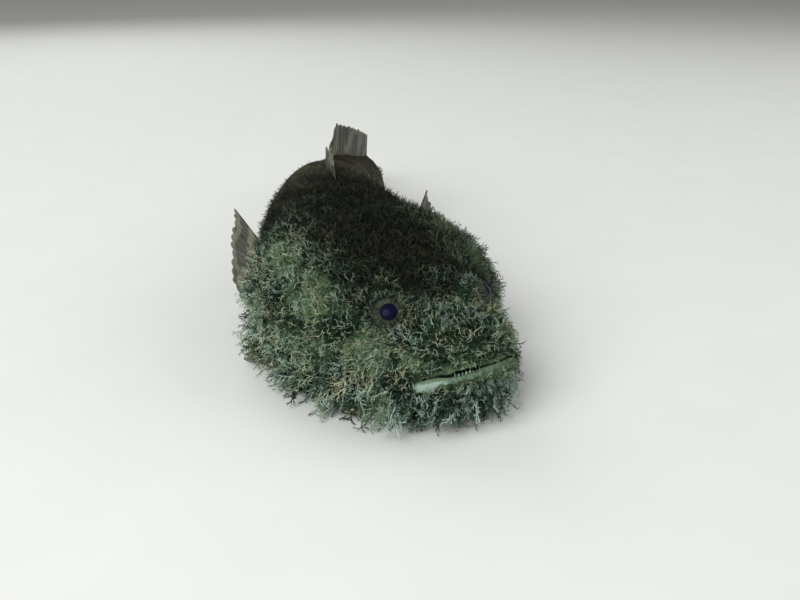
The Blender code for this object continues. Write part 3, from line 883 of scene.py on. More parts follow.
class Nodes:
    """Adds nodes to one tree."""

    def __init__(self, tree):
        self.tree = tree

    def feed(self, socket, value):
        if isinstance(value, Value):
            self.tree.links.new(value.socket, socket)
        elif socket.type == "RGBA" and len(value) == 3:
            socket.default_value = (*value, 1)
        else:
            socket.default_value = value

    def add(self, kind, settings=None, inputs=None, output=0):
        node = self.tree.nodes.new(kind)
        for name, setting in (settings or {}).items():
            setattr(node, name, setting)
        for place, value in (inputs or {}).items():
            self.feed(node.inputs[place], value)
        return Value(self, node.outputs[output])

    def blend(self, share, first, second, way="MIX"):
        settings = {"data_type": "RGBA", "blend_type": way, "clamp_factor": True}
        return self.add("ShaderNodeMix", settings, {0: share, 6: first, 7: second}, 2)

    def rise(self, value, low, high):
        """0 at low, 1 at high, and smooth between. High may be the smaller."""
        inputs = {"Value": value, "From Min": low, "From Max": high, "To Min": 0.0, "To Max": 1.0}
        return self.add("ShaderNodeMapRange", {"interpolation_type": "SMOOTHSTEP"}, inputs)

    def attribute(self, name, output="Fac"):
        return self.add("ShaderNodeAttribute", {"attribute_name": name}, None, output)

    def parted(self, kind, value):
        """The three numbers of a colour or a vector, by the kind of node that parts them."""
        return [self.add(kind, None, {0: value}, k) for k in range(3)]

    def channels(self, name):
        return self.parted("ShaderNodeSeparateColor", self.attribute(name, "Color"))

    def place(self):
        return self.add("ShaderNodeTexCoord", None, None, "Object")

    def noise(self, size, detail=3.0, roughness=0.55, distortion=0.0, vector=None):
        """Soft noise whose blotches are about this large, in metres on the fish."""
        inputs = {"Vector": vector or self.place(), "Scale": 1 / size, "Detail": detail,
                  "Roughness": roughness, "Distortion": distortion}
        return self.add("ShaderNodeTexNoise", None, inputs)


print("short ways to add nodes:", ", ".join(word for word in vars(Nodes) if word[0] != "_"))


# %% Tones and finishes
def screen_tone(*tone):
    """A colour given as it looks on a screen, 0 to 255, as the linear colour that shaders use."""
    return tuple(s / 12.92 if s <= 0.04045 else ((s + 0.055) / 1.055) ** 2.4 for s in (c / 255 for c in tone))


def new_finish(name, fixed, make):
    """A material: fixed values on the shader's own sockets, and what make(nodes) works out for others."""
    material = bpy.data.materials.new(name)
    material.use_nodes = True
    nodes = Nodes(material.node_tree)
    shader = material.node_tree.nodes["Principled BSDF"]
    for socket, value in {**fixed, **make(nodes)}.items():
        nodes.feed(shader.inputs[socket], value)
    print(name, "finish:", len(material.node_tree.nodes), "nodes")
    return material


def bump(nodes, strength, distance, height):
    return nodes.add("ShaderNodeBump", None, {"Strength": strength, "Distance": distance, "Height": height})


print("a middle grey in linear light:", round(*screen_tone(128), 3))

# %% [markdown]
# ## One pattern for skin, coat and fins
# The fish is olive grey with darker blotches, brown on the crown and paler green on the cheeks,
# mottled at every scale down to a fraction of a millimetre. The brown also carries painted shade,
# which darkens the crown, the nape and the upper left side. One function mixes that pattern from
# noise in the fish's own space and from the painted markings, and each finish gives it its own
# four tones, so the colours of neighbouring pieces always meet.

# %% The pattern
# For each kind of surface: its dark, middle, pale and brown tones as they look on a screen
SCREEN_TONES = {
    # The skin's tones are dark partly as painted shade in the gaps between the filaments, and the browns of
    # skin and coat are near black because they stand for painted shade as well
    "skin": ((9, 17, 12), (34, 54, 38), (83, 102, 72), (20, 19, 13)),
    "coat": ((18, 33, 24), (61, 87, 66), (130, 154, 120), (27, 28, 19)),
    "body": ((30, 28, 20), (80, 78, 57), (136, 134, 104), (48, 42, 29)),
    "fins": ((22, 22, 16), (50, 50, 38), (104, 106, 84), (52, 40, 28)),
}
TONES = {surface: [screen_tone(*tone) for tone in tones] for surface, tones in SCREEN_TONES.items()}
BROAD_MOTTLING = 11 * MM
SMALL_MOTTLING = 2.6 * MM
FINE_MOTTLING = 0.8 * MM
# Lightness, or the strength of a marking, where each tone starts and where it is full
MIDDLE_TONE_AT = (0.36, 0.62)
BROWN_TONE_AT = (0.42, 0.60)
PALE_TONE_AT = (0.15, 0.75)
DARK_TONE_AT = (0.2, 0.8)


def pattern(nodes, surface, pale, dark, brown_and_painted_shade, speckle=1.0):
    """The mottled colour of the fish from the painted markings, painted shade among them, and noise at three
    sizes.
    """
    dark_tone, middle_tone, pale_tone, brown_tone = TONES[surface]
    small = nodes.noise(SMALL_MOTTLING, 3.0, 0.6, 0.6)
    fine = nodes.noise(FINE_MOTTLING, 2.0)
    lightness = 0.5 * nodes.noise(BROAD_MOTTLING, 2.0) + 0.5 * small + speckle * (0.35 * fine - 0.175)
    colour = nodes.blend(nodes.rise(lightness, *MIDDLE_TONE_AT), dark_tone, middle_tone)
    brownish = nodes.blend(nodes.rise(lightness, *BROWN_TONE_AT), dark_tone, brown_tone)
    # The brown blend also lays the painted shade of the crown, the nape and the upper left side
    colour = nodes.blend(brown_and_painted_shade, colour, brownish)
    paler = nodes.rise(pale + 0.6 * small - 0.3, *PALE_TONE_AT)
    colour = nodes.blend(0.85 * paler, colour, pale_tone)
    darker = nodes.rise(dark + 0.5 * small - 0.25, *DARK_TONE_AT)
    return nodes.blend(0.8 * darker, colour, dark_tone)


print("there are four tones each for", ", ".join(TONES))

# %% Finish of the skin
LIP_TONE = screen_tone(138, 158, 146)
LIP_GREEN = screen_tone(94, 110, 60)
LIP_SHADE = screen_tone(98, 120, 104)
# Painted shade: the near-black tone of the inside of the mouth
MOUTH_SHADE_TONE = screen_tone(20, 13, 13)
BELLY_TONE = screen_tone(120, 120, 98)
# Where the lip's paint reaches its pale tone, where its green edge comes and goes, how far under
# the lip line that edge may be, and where its veins and blotches show
LIP_TONE_AT = (0.65, 1.05)
LIP_EDGE_COMES = (0.54, 0.66)
LIP_EDGE_GOES = (0.98, 0.80)
LIP_EDGE_HEIGHT = (-1.6 * MM, -0.8 * MM)
LIP_VEINS_AT = (0.52, 0.66)
LIP_BLOTCHES_AT = (0.48, 0.62)
LIP_STARTS_AT = (0.15, 0.5)
VEINS = 1.6 * MM
LIP_BLOTCHES = 0.7 * MM
PORES = 0.9 * MM
WRINKLES = 3.0 * MM
SHEEN_BLOTCHES = 1.5 * MM


def lip_colour(nodes, lip, veins):
    """Pale and veined, greenish along the upper edge, and blotched like skin where it is less bare."""
    colour = nodes.blend(nodes.rise(lip + 0.3 * veins, *LIP_TONE_AT), LIP_SHADE, LIP_TONE)
    edge = nodes.rise(lip, *LIP_EDGE_GOES) * nodes.rise(lip, *LIP_EDGE_COMES)
    edge = edge * nodes.rise(nodes.attribute("over_lip"), *LIP_EDGE_HEIGHT)
    colour = nodes.blend(0.7 * edge + 0.4 * nodes.rise(veins, *LIP_VEINS_AT), colour, LIP_GREEN)
    blotches = nodes.rise(nodes.noise(LIP_BLOTCHES, 2.0), *LIP_BLOTCHES_AT)
    return nodes.blend((1 - lip) * blotches, colour, TONES["skin"][1])


def skin_finish(nodes):
    markings = nodes.channels("markings")
    lip, belly, mouth = nodes.channels("places")
    bare = nodes.attribute("bare")
    veins = nodes.noise(VEINS, 3.0, 0.6)
    colour = nodes.blend(bare, pattern(nodes, "skin", *markings), pattern(nodes, "body", *markings))
    colour = nodes.blend(0.6 * belly, colour, BELLY_TONE)
    on_lip = nodes.rise(lip + 0.6 * veins - 0.3, *LIP_STARTS_AT)
    colour = nodes.blend(on_lip, colour, lip_colour(nodes, lip, veins))
    skin_relief = 0.6 * nodes.noise(PORES, 3.0) + nodes.noise(WRINKLES, 2.0, 0.5, 0.8)
    return {
        # The inside of the mouth takes its painted shade here
        "Base Color": nodes.blend(mouth, colour, MOUTH_SHADE_TONE),
        "Roughness": 0.62 + 0.3 * nodes.noise(SHEEN_BLOTCHES),
        "Coat Weight": 0.02 * bare + 0.12 * lip + 0.3 * mouth,
        "Normal": bump(nodes, 0.6, 0.5 * MM, skin_relief),
    }


SKIN_FINISH = new_finish("skin", {"Coat Roughness": 0.3, "Specular IOR Level": 0.05}, skin_finish)

# %% Show the skin
FLESH = ("head", "lower_jaw", "gill_cover_left", "gill_cover_right",
         "trunk_front", "trunk_rear", "tail_front", "tail_stalk")


def triangles(mesh):
    return sum(len(p.vertices) - 2 for p in mesh.polygons)


def show(name, mesh, finish, slot, *nodes_replaced):
    """Puts a finished mesh in the scene as a piece that rides with the fish."""
    mesh.materials.clear()
    mesh.materials.append(finish)
    obj = bpy.data.objects.new(name, mesh)
    SCENE.collection.objects.link(obj)
    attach(obj, "root")
    if nodes_replaced:
        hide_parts(*nodes_replaced)
    print(name, triangles(mesh), "triangles")
    return obj


SKIN_PIECE = show("skin", SKIN, SKIN_FINISH, "head", *FLESH)

# %% [markdown]
# ## The eyes
# A fish's eye has no lids that close: a round, glossy cornea stands a little proud of the iris, and
# the iris is camouflaged like the skin. Here the pupil is large and deep blue-violet. Each eye is a
# ball whose pole looks outwards, so rings and spokes of the mesh can carry the pupil's edge and the
# iris's rays exactly.

# %% Eyeballs
# Angles are in degrees from the pole, and the rings lie close together over the visible part
CORNEA_RISE = 0.35 * MM
CORNEA_ANGLE = 42
EYE_RINGS = np.radians(np.concatenate([np.linspace(0, 70, 48), np.linspace(76, 180, 20)]))
EYE_SPOKES = 72
RAY_STRETCH = (5, 5, 1.2)
# Each eye is rolled a little in its socket, the right one forwards and the left one outwards
GAZE = {1: Vector((0.42, 0.73, 0.54)).normalized(), -1: Vector((0.66, -0.44, 0.61)).normalized()}


def tube_faces(rings, sides, first=0):
    """Faces between rings of points, each ring having this many."""
    corners = [(first + k * sides, s, (s + 1) % sides) for k in range(rings - 1) for s in range(sides)]
    return [[start + s, start + n, start + sides + n, start + sides + s] for start, s, n in corners]


def eyeball(side):
    look = np.array(GAZE[side])
    across = np.cross(look, (0, 0, 1))
    across /= np.linalg.norm(across)
    ring, spoke = (a.ravel() for a in np.meshgrid(
        EYE_RINGS, np.arange(EYE_SPOKES) * 2 * math.pi / EYE_SPOKES, indexing="ij"))
    turn = np.cos(spoke)[:, None] * across + np.sin(spoke)[:, None] * np.cross(across, look)
    radius = EYE_RADIUS + CORNEA_RISE * between(CORNEA_ANGLE, 0, np.degrees(ring))
    way = np.cos(ring)[:, None] * look + np.sin(ring)[:, None] * turn
    points = np.array(mirrored(EYE_CENTRE, side)) + radius[:, None] * way
    mesh = mesh_of(f"eye_{side}", to_pose(points), tube_faces(len(EYE_RINGS), EYE_SPOKES))
    rays = np.stack([np.cos(spoke), np.sin(spoke), ring], axis=1) * RAY_STRETCH
    put_attribute(mesh, "from_pole", np.degrees(ring))
    put_attribute(mesh, "ray", rays, "FLOAT_VECTOR")
    return reworked(mesh, weld_and_turn_out)


print("each eyeball:", len(EYE_RINGS), "rings of", EYE_SPOKES, "points")

# %% Finish of the eyes
PUPIL_ANGLE = 25.6
PUPIL_BLUR = 2
RING_WIDTH = 5.5
PUPIL_REFLECTION_FADE = (6, 27)
RIM_FADE = (52, 62)
STREAKS_AT = (0.35, 0.65)
SPECKS_AT = (0.5, 0.7)
SPECK_SIZE = 0.5 * MM
# Painted reflection: the middle of the pupil is a little lighter, as if lit from inside by the lens
PUPIL_PAINTED_REFLECTION = screen_tone(15, 15, 44)
PUPIL_EDGE = screen_tone(9, 10, 26)
IRIS_DARK = screen_tone(25, 30, 25)
IRIS_PALE = screen_tone(62, 69, 56)
IRIS_SPECKS = screen_tone(44, 38, 30)
IRIS_RIM = screen_tone(36, 42, 33)
RING_TONE = screen_tone(66, 66, 50)
EYE_GLOSS = {"Roughness": 0.3, "Coat Weight": 0.02, "Coat Roughness": 0.15, "Specular IOR Level": 0.04}


def eye_finish(nodes):
    angle = nodes.attribute("from_pole")
    streaks = nodes.noise(1.0, 4.0, 0.65, 0.0, nodes.attribute("ray", "Vector"))
    # The pupil's lighter middle is a painted reflection
    pupil = nodes.blend(nodes.rise(angle, *PUPIL_REFLECTION_FADE), PUPIL_PAINTED_REFLECTION, PUPIL_EDGE)
    iris = nodes.blend(nodes.rise(streaks, *STREAKS_AT), IRIS_DARK, IRIS_PALE)
    iris = nodes.blend(nodes.rise(nodes.noise(SPECK_SIZE, 3.0), *SPECKS_AT), iris, IRIS_SPECKS)
    iris = nodes.blend(nodes.rise(angle + 8 * streaks, *RIM_FADE), iris, IRIS_RIM)
    edge = nodes.rise(angle + 1.5 * streaks, PUPIL_ANGLE, PUPIL_ANGLE + PUPIL_BLUR)
    ring = nodes.rise(angle, PUPIL_ANGLE + RING_WIDTH, PUPIL_ANGLE + PUPIL_BLUR) * edge
    return {"Base Color": nodes.blend(0.3 * ring, nodes.blend(edge, pupil, iris), RING_TONE)}


EYE_FINISH = new_finish("eye", EYE_GLOSS, eye_finish)
for word, side in SIDES.items():
    show(f"eyeball_{word}", eyeball(side), EYE_FINISH, "eyes", f"eye_{word}")

# %% [markdown]
# ## Shapes of the filaments
# Each filament on a real fish is a soft, tapering twig of skin that forks and curls. A few shapes
# are enough, because size, turn and colour differ from place to place. A strand is a three-sided
# tube along a bent path, closed at its root and drawn to a point, so a whole tuft has only a few
# dozen faces. The larger barbels of the beard are the same idea with a thicker stem.

# %% Strands and tufts
# How far the curl of a strand turns at each step, in radians, a direction that strands rarely take,
# and how far a strand stays from the edge of its own lane on the UV map
CURL_TURN = 1.7
OFF_AXIS = (0.31, 0.85, 0.42)
LANE_EDGE = 0.25


class Tuft:
    """Collects strands in one mesh. Its root is at the origin, it grows along z and bends over x."""

    def __init__(self, seed, wobble):
        self.random = np.random.default_rng(seed)
        self.wobble = wobble
        self.points, self.faces, self.along, self.lanes = [], [], [], []

    def path(self, start, way, length, bend, steps, curl):
        """Points of a strand that leaves start in a direction, turns by bend on its way and curls."""
        direction = np.array(way, float)
        points = [np.array(start, float)]
        phase = self.random.uniform(0, 2 * math.pi)
        for k in range(steps):
            direction = direction / np.linalg.norm(direction)
            points.append(points[-1] + direction * length / steps)
            turn = phase + CURL_TURN * k
            direction = direction + curl * np.array([math.cos(turn), math.sin(turn), 0])
            direction = direction + np.array(bend) / steps + self.random.normal(size=3) * self.wobble
        return points

    def strand(self, path, radius, from_share, to_share, sides=3, tip=0.6):
        """A tapering tube with a pointed end. The shares say how far out on the tuft it starts and ends."""
        first, last = len(self.points), len(path) - 1
        turns = [2 * math.pi * s / sides for s in range(sides)]
        for k, centre in enumerate(path[:-1]):
            step = path[k + 1] - path[max(k - 1, 0)]
            direction = step / np.linalg.norm(step)
            across = np.cross(direction, OFF_AXIS)
            across /= np.linalg.norm(across)
            over = np.cross(direction, across)
            share = k / last
            width = radius * (1 - (1 - tip) * share)
            self.points += [centre + width * (math.cos(t) * across + math.sin(t) * over) for t in turns]
            self.along += [from_share + (to_share - from_share) * share] * sides
        self.points.append(path[-1])
        self.along.append(to_share)
        self.lanes += [len(set(self.lanes))] * (last * sides + 1)
        end = first + (last - 1) * sides
        self.faces += tube_faces(last, sides, first)
        self.faces += [[end + s, end + (s + 1) % sides, len(self.points) - 1] for s in range(sides)]
        self.faces.append([first + s for s in reversed(range(sides))])

    def branch(self, stem, share, length, bend, steps, curl, radius, shares, spread=0.9):
        """Grows a strand out of the side of a stem, this far along it, and returns its path."""
        at = share * (len(stem) - 1)
        low = int(at)
        step = stem[low + 1] - stem[low]
        start = stem[low] + step * (at - low)
        onward = step / np.linalg.norm(step)
        sideways = np.cross(onward, self.random.normal(size=3))
        way = onward + spread * (sideways / np.linalg.norm(sideways))
        path = self.path(start, way, length, self.random.normal(size=3) * bend, steps, curl)
        self.strand(path, radius, *shares)
        return path

    def finished(self, name):
        """The tuft as an object. Each strand has its own lane on its UV map."""
        mesh = mesh_of(name, self.points, self.faces)
        put_attribute(mesh, "along", self.along)
        uv = mesh.uv_layers.new(name="lane")
        for loop in mesh.loops:
            k = loop.vertex_index
            across = LANE_EDGE + (1 - 2 * LANE_EDGE) * (k % 3) / 2
            uv.data[loop.index].uv = ((self.lanes[k] + across) / (max(self.lanes) + 1), self.along[k])
        mesh.shade_smooth()
        return bpy.data.objects.new(name, mesh)


print("the curl of a strand turns", round(math.degrees(CURL_TURN)), "degrees at each step")


# %% Twigs and barbels
def twig(seed, branches, radius, steps, branch_steps):
    """A bent, curling stem with side branches. One unit long."""
    tuft = Tuft(seed, wobble=0.26)
    draw = tuft.random.uniform
    bend = (-draw(0.4, 1.9), draw(-1.0, 1.0), 0)
    stem = tuft.path((0, 0, -0.06), (0.55, draw(-0.3, 0.3), 1), length=1.2, bend=bend, steps=steps, curl=0.62)
    tuft.strand(stem, radius, 0.0, 1.0)
    for k in range(branches):
        share = 0.22 + 0.66 * k / branches
        length = draw(0.35, 0.62) * (1.15 - 0.5 * share)
        shares = (share, min(share + length, 1.0))
        tuft.branch(stem, share, length, 1.5, branch_steps, curl=0.6, radius=radius * 0.8, shares=shares)
    return tuft


def barbel(seed, branches, radius):
    """A thicker, drooping stem fringed on all sides by forked branches. One unit long."""
    tuft = Tuft(seed, wobble=0.2)
    draw = tuft.random.uniform
    way = (0.2, draw(-0.2, 0.2), 1)
    stem = tuft.path((0, 0, -0.08), way, length=1.0, bend=(-0.4, draw(-0.4, 0.4), 0), steps=7, curl=0.22)
    tuft.strand(stem, radius, 0.0, 1.0, sides=4, tip=0.35)
    for k in range(branches):
        share = 0.18 + 0.76 * k / branches
        length = draw(0.18, 0.34) * (1.2 - 0.5 * share)
        shares = (share, min(share + length, 1.0))
        side = tuft.branch(stem, share, length, 1.4, steps=3, curl=0.5, radius=radius * 0.6, shares=shares)
        fork = {"steps": 2, "curl": 0.4, "radius": radius * 0.5, "shares": shares, "spread": 0.8}
        tuft.branch(side, 0.4, length * 0.6, 1.0, **fork)
    return tuft


def new_collection(name, objects):
    collection = bpy.data.collections.new(name)
    SCENE.collection.children.link(collection)
    for obj in objects:
        collection.objects.link(obj)
    return collection


# For each kind: how to make it, the seed and the number of branches of each shape, and its thickness
# with, for twigs, the steps of its stem and of its branches
KINDS = {
    "twig": (twig, ((1, 3), (2, 4), (3, 2), (4, 4), (5, 3), (6, 4)), (0.030, 6, 3)),
    "short_twig": (twig, ((21, 2), (22, 3), (23, 1), (24, 2), (25, 3), (26, 2)), (0.036, 4, 2)),
    "barbel": (barbel, ((11, 8), (12, 10), (13, 9), (14, 10)), (0.022,)),
}
TUFTS = {}
for kind, (make, shapes, sizes) in KINDS.items():
    objects = [make(*shape, *sizes).finished(f"{kind}_{k + 1}") for k, shape in enumerate(shapes)]
    TUFTS[kind] = new_collection(kind, objects)
    print(kind, "faces:", [len(o.data.polygons) for o in objects])

# %% [markdown]
# ## Growing the coat
# One tree of geometry nodes grows every part of the coat. It scatters roots evenly over the skin
# where the painted thickness allows, sets a tuft on each, turned the way the coat lies and lifted a
# little off the skin, and keeps the tips above the floor. It also stores a place for each tuft on
# an unwrap of the skin, so that colours can be baked. The coat is grown in parts to keep each
# mesh small, and each part is made a plain mesh when it is done.

# %% Helpers for trees of geometry nodes
# For each kind of random value: its sockets for the lowest and the highest value, and its output
RANDOM_SOCKETS = {"FLOAT": (2, 3, 1), "FLOAT_VECTOR": (0, 1, 0), "INT": (4, 5, 2)}
SEED_SOCKET = 8


def start_tree(name, inputs):
    """A new tree with named inputs, and those inputs as values."""
    tree = bpy.data.node_groups.new(name, "GeometryNodeTree")
    for word, kind in inputs.items():
        tree.interface.new_socket(word, in_out="INPUT", socket_type="NodeSocket" + kind)
    tree.interface.new_socket("Made", in_out="OUTPUT", socket_type="NodeSocketGeometry")
    entry = tree.nodes.new("NodeGroupInput")
    nodes = Nodes(tree)
    return nodes, {word: Value(nodes, entry.outputs[word]) for word in inputs}


def end_tree(nodes, made, finish):
    finished = nodes.add("GeometryNodeSetMaterial", None, {"Geometry": made, "Material": finish})
    nodes.feed(nodes.tree.nodes.new("NodeGroupOutput").inputs["Made"], finished)
    print(nodes.tree.name, "tree:", len(nodes.tree.nodes), "nodes")
    return nodes.tree


def vector_maths(nodes, operation, *values):
    return nodes.add("ShaderNodeVectorMath", {"operation": operation}, dict(enumerate(values)))


def random_value(nodes, kind, low, high, seed):
    """A random number or vector for each point."""
    lowest, highest, output = RANDOM_SOCKETS[kind]
    inputs = {lowest: low, highest: high, SEED_SOCKET: seed}
    return nodes.add("FunctionNodeRandomValue", {"data_type": kind}, inputs, output)


def named(nodes, name, kind="FLOAT"):
    return nodes.add("GeometryNodeInputNamedAttribute", {"data_type": kind}, {"Name": name})


def stored(nodes, geometry, name, value, kind="FLOAT", domain="POINT"):
    return nodes.add("GeometryNodeStoreNamedAttribute", {"data_type": kind, "domain": domain},
                     {"Geometry": geometry, "Name": name, "Value": value})


def turned(nodes, z_axis, x_axis):
    return nodes.add("FunctionNodeAxesToRotation", {"primary_axis": "Z", "secondary_axis": "X"},
                     {"Primary Axis": z_axis, "Secondary Axis": x_axis})


def planted(nodes, points, shapes, last_choice, seed, rotation, size):
    """Sets one of the shapes on each point and makes all of them real."""
    choice = random_value(nodes, "INT", 0, last_choice, seed)
    shapes = nodes.add("GeometryNodeCollectionInfo", None,
                       {"Collection": shapes, "Separate Children": True, "Reset Children": True})
    copies = nodes.add("GeometryNodeInstanceOnPoints", None, {
        "Points": points, "Instance": shapes, "Pick Instance": True,
        "Instance Index": choice, "Rotation": rotation, "Scale": size})
    return nodes.add("GeometryNodeRealizeInstances", None, {"Geometry": copies})


print("kinds of random value:", ", ".join(RANDOM_SOCKETS))

# %% The coat's node tree
COAT_INPUTS = {
    "Skin": "Object",
    "Tufts": "Collection",
    "Thickness": "Float",
    "Nearest roots": "Float",
    "Most roots": "Float",
    "Tangle": "Float",
    "Lift": "Float",
    "Patch size": "Float",
    "Floor clearance": "Float",
    "Seed": "Int",
    "Finish": "Material",
}
MOST_SPIN = 1.1
LENGTH_CHANGE = (0.65, 1.35)
# Choices past the last shape are counted round again from the first
LAST_CHOICE = 11


def coat_tree():
    nodes, given = start_tree("coat_of_filaments", COAT_INPUTS)
    seed = given["Seed"]
    skin = nodes.add("GeometryNodeObjectInfo", {"transform_space": "RELATIVE"},
                     {"Object": given["Skin"]}, "Geometry")
    roots = nodes.add("GeometryNodeDistributePointsOnFaces", {"distribute_method": "POISSON"}, {
        "Mesh": skin, "Distance Min": given["Nearest roots"], "Density Max": given["Most roots"],
        "Density Factor": given["Thickness"], "Seed": seed})
    normal = roots.output("Normal")
    jitter = random_value(nodes, "FLOAT_VECTOR", (-1, -1, -1), (1, 1, 1), seed + 1)
    lie = vector_maths(nodes, "MULTIPLY_ADD", jitter, given["Tangle"], named(nodes, "lie", "FLOAT_VECTOR"))
    lifted = vector_maths(nodes, "MULTIPLY_ADD", normal, named(nodes, "stand") * given["Lift"], lie)
    angle = random_value(nodes, "FLOAT", -MOST_SPIN, MOST_SPIN, seed + 2)
    spin = nodes.add("FunctionNodeAxisAngleToRotation", None, {"Axis": (0, 0, 1), "Angle": angle})
    rotation = nodes.add("FunctionNodeRotateRotation", {"rotation_space": "LOCAL"},
                         {"Rotation": turned(nodes, lifted, normal), "Rotate By": spin})
    length = named(nodes, "coat_length") * random_value(nodes, "FLOAT", *LENGTH_CHANGE, seed + 3)
    shaded = stored(nodes, roots, "shade", random_value(nodes, "FLOAT", 0.0, 1.0, seed + 4))
    real = planted(nodes, shaded, given["Tufts"], LAST_CHOICE, seed + 5, rotation, length)
    unwrap = named(nodes, "unwrap", "FLOAT_VECTOR")
    patch = vector_maths(nodes, "SUBTRACT", named(nodes, "lane", "FLOAT_VECTOR"), (0.5, 0.5, 0))
    patch = vector_maths(nodes, "MULTIPLY_ADD", patch, given["Patch size"], unwrap)
    mapped = stored(nodes, real, "OFBake", patch, "FLOAT2", "CORNER")
    x, y, z = nodes.parted("ShaderNodeSeparateXYZ", nodes.add("GeometryNodeInputPosition"))
    raised = z.maths("MAXIMUM", z, given["Floor clearance"] * (1.0 + named(nodes, "shade")))
    kept_up = nodes.add("ShaderNodeCombineXYZ", None, {0: x, 1: y, 2: raised})
    settled = nodes.add("GeometryNodeSetPosition", None, {"Geometry": mapped, "Position": kept_up})
    return end_tree(nodes, settled, given["Finish"])


COAT_TREE = coat_tree()

# %% Finish of the coat
# Painted shade: this tone darkens the roots of the filaments as if shaded by the coat round them
PAINTED_ROOT_SHADE = screen_tone(74, 88, 76)
TIP_GREEN = screen_tone(166, 190, 172)
TIP_WARM = screen_tone(182, 186, 154)
# Painted light: the cool cast of the light on the tips of the jaw's filaments
PAINTED_COOL_LIGHT = screen_tone(166, 187, 178)
# Dark tip tone for the brown areas, standing partly for painted shade on the crown and the upper left side
TIP_BROWN_AND_SHADE = screen_tone(56, 60, 45)
# The jaw in the posed fish, where painted cool light falls on the tips: from here forwards, and from here
# down
JAW_FROM = (126 * MM, 142 * MM)
JAW_DOWN = (22 * MM, 15 * MM)
WARM_AREAS = 9 * MM
PALE_CLUMPS = 3.5 * MM
# Where the painted shade at the root ends along a filament, where its tip is pale, and how pale clumps come
ROOT_ENDS = (0.05, 0.7)
TIP_AT = (0.85, 1.4)
WARM_AT = (0.42, 0.60)
CLUMPS_AT = (1.05, 1.32)
CLUMPS_FROM_ROOT = (0.0, 0.3)


def coat_finish(nodes):
    """Darkened at the roots as painted shade, and pale at the tips and in whole clumps of filaments."""
    pale, dark, brown_and_painted_shade = nodes.channels("markings")
    along = nodes.attribute("along")
    shade = nodes.attribute("shade")
    colour = pattern(nodes, "coat", pale + 0.5 * shade - 0.25, dark - 0.15, brown_and_painted_shade, 0.6)
    # Painted shade at the root of each filament
    root = nodes.blend(1.0, colour, PAINTED_ROOT_SHADE, "MULTIPLY")
    colour = nodes.blend(nodes.rise(along, *ROOT_ENDS), root, colour)
    light = nodes.blend(nodes.rise(nodes.noise(WARM_AREAS, 2.0), *WARM_AT), TIP_GREEN, TIP_WARM)
    forwards, _, up = nodes.parted("ShaderNodeSeparateXYZ", nodes.place())
    # Painted light: the tips on the jaw take the cool cast of the light that falls there
    cool_light_on_jaw = nodes.rise(forwards, *JAW_FROM) * nodes.rise(up, *JAW_DOWN)
    light = nodes.blend(cool_light_on_jaw, light, PAINTED_COOL_LIGHT)
    # Painted shade: tips are darkened where the brown channel holds the shade of the crown and the left side
    light = nodes.blend(brown_and_painted_shade, light, TIP_BROWN_AND_SHADE)
    tip = nodes.blend(0.75 * nodes.rise(along + 0.6 * shade, *TIP_AT), colour, light)
    clumps = nodes.rise(shade + nodes.noise(PALE_CLUMPS, 2.0), *CLUMPS_AT)
    return {"Base Color": nodes.blend(clumps * nodes.rise(along, *CLUMPS_FROM_ROOT), tip, light)}


COAT_FINISH = new_finish("coat", {"Roughness": 0.7, "Specular IOR Level": 0.12}, coat_finish)


# %% Run a tree of geometry nodes
def set_inputs(modifier, tree, values):
    for item in tree.interface.items_tree:
        value = values.get(item.name)
        if isinstance(value, str):
            modifier[item.identifier + "_use_attribute"] = True
            modifier[item.identifier + "_attribute_name"] = value
        elif value is not None:
            modifier[item.identifier] = value


def made_plain(name, tree, values, mesh=None):
    """Runs a tree once and returns what it makes as a plain mesh."""
    obj = bpy.data.objects.new(name, mesh or bpy.data.meshes.new(name))
    SCENE.collection.objects.link(obj)
    modifier = obj.modifiers.new("grow", "NODES")
    modifier.node_group = tree
    set_inputs(modifier, tree, values)
    bpy.context.view_layer.update()
    made = bpy.data.meshes.new_from_object(obj.evaluated_get(bpy.context.evaluated_depsgraph_get()))
    bpy.data.objects.remove(obj)
    made.name = name
    return made


# What all parts of the coat share. The patch is the share of the unwrap that colours one tuft.
SHARED_INPUTS = {"Skin": SKIN_PIECE, "Patch size": 0.003, "Floor clearance": 0.25 * MM,
                 "Thickness": "thickness_now", "Finish": COAT_FINISH}
KEPT_ATTRIBUTES = ("position", "OFBake", "markings", "shade", "along", "sharp_face")


def grow(name, thickness, kind, nearest, most, tangle, lift, seeds, slot):
    """Grows a part of the coat on each side. Nearest is how close two roots may be, in mm."""
    values = {**SHARED_INPUTS, "Tufts": TUFTS[kind], "Nearest roots": nearest * MM,
              "Most roots": most, "Tangle": tangle, "Lift": lift}
    for word, on_side, seed in (("left", LEFT > 0, seeds[0]), ("right", LEFT <= 0, seeds[1])):
        put_attribute(SKIN, "thickness_now", np.clip(thickness * on_side, 0, 1))
        piece = f"{name}_{word}"
        mesh = made_plain(piece, COAT_TREE, {**values, "Seed": seed})
        SKIN.attributes.remove(SKIN.attributes["thickness_now"])
        for extra in [a.name for a in mesh.attributes if a.name not in KEPT_ATTRIBUTES and not a.is_internal]:
            mesh.attributes.remove(mesh.attributes[extra])
        show(piece, mesh, COAT_FINISH, slot)


print("all parts of the coat share:", ", ".join(SHARED_INPUTS))

# %% Grow the coat
ON_SIDE = fade((HEIGHT - 0.12 * BACK, 37, 33))
JAW = (UNDER_LIP > 0) * fade((BACK, 34, 30))
FRONT = fade((BACK, 31, 29)) * (1 - JAW)
BETWEEN = (1 - FRONT) * (1 - JAW) * fade((BACK, 85, 83))
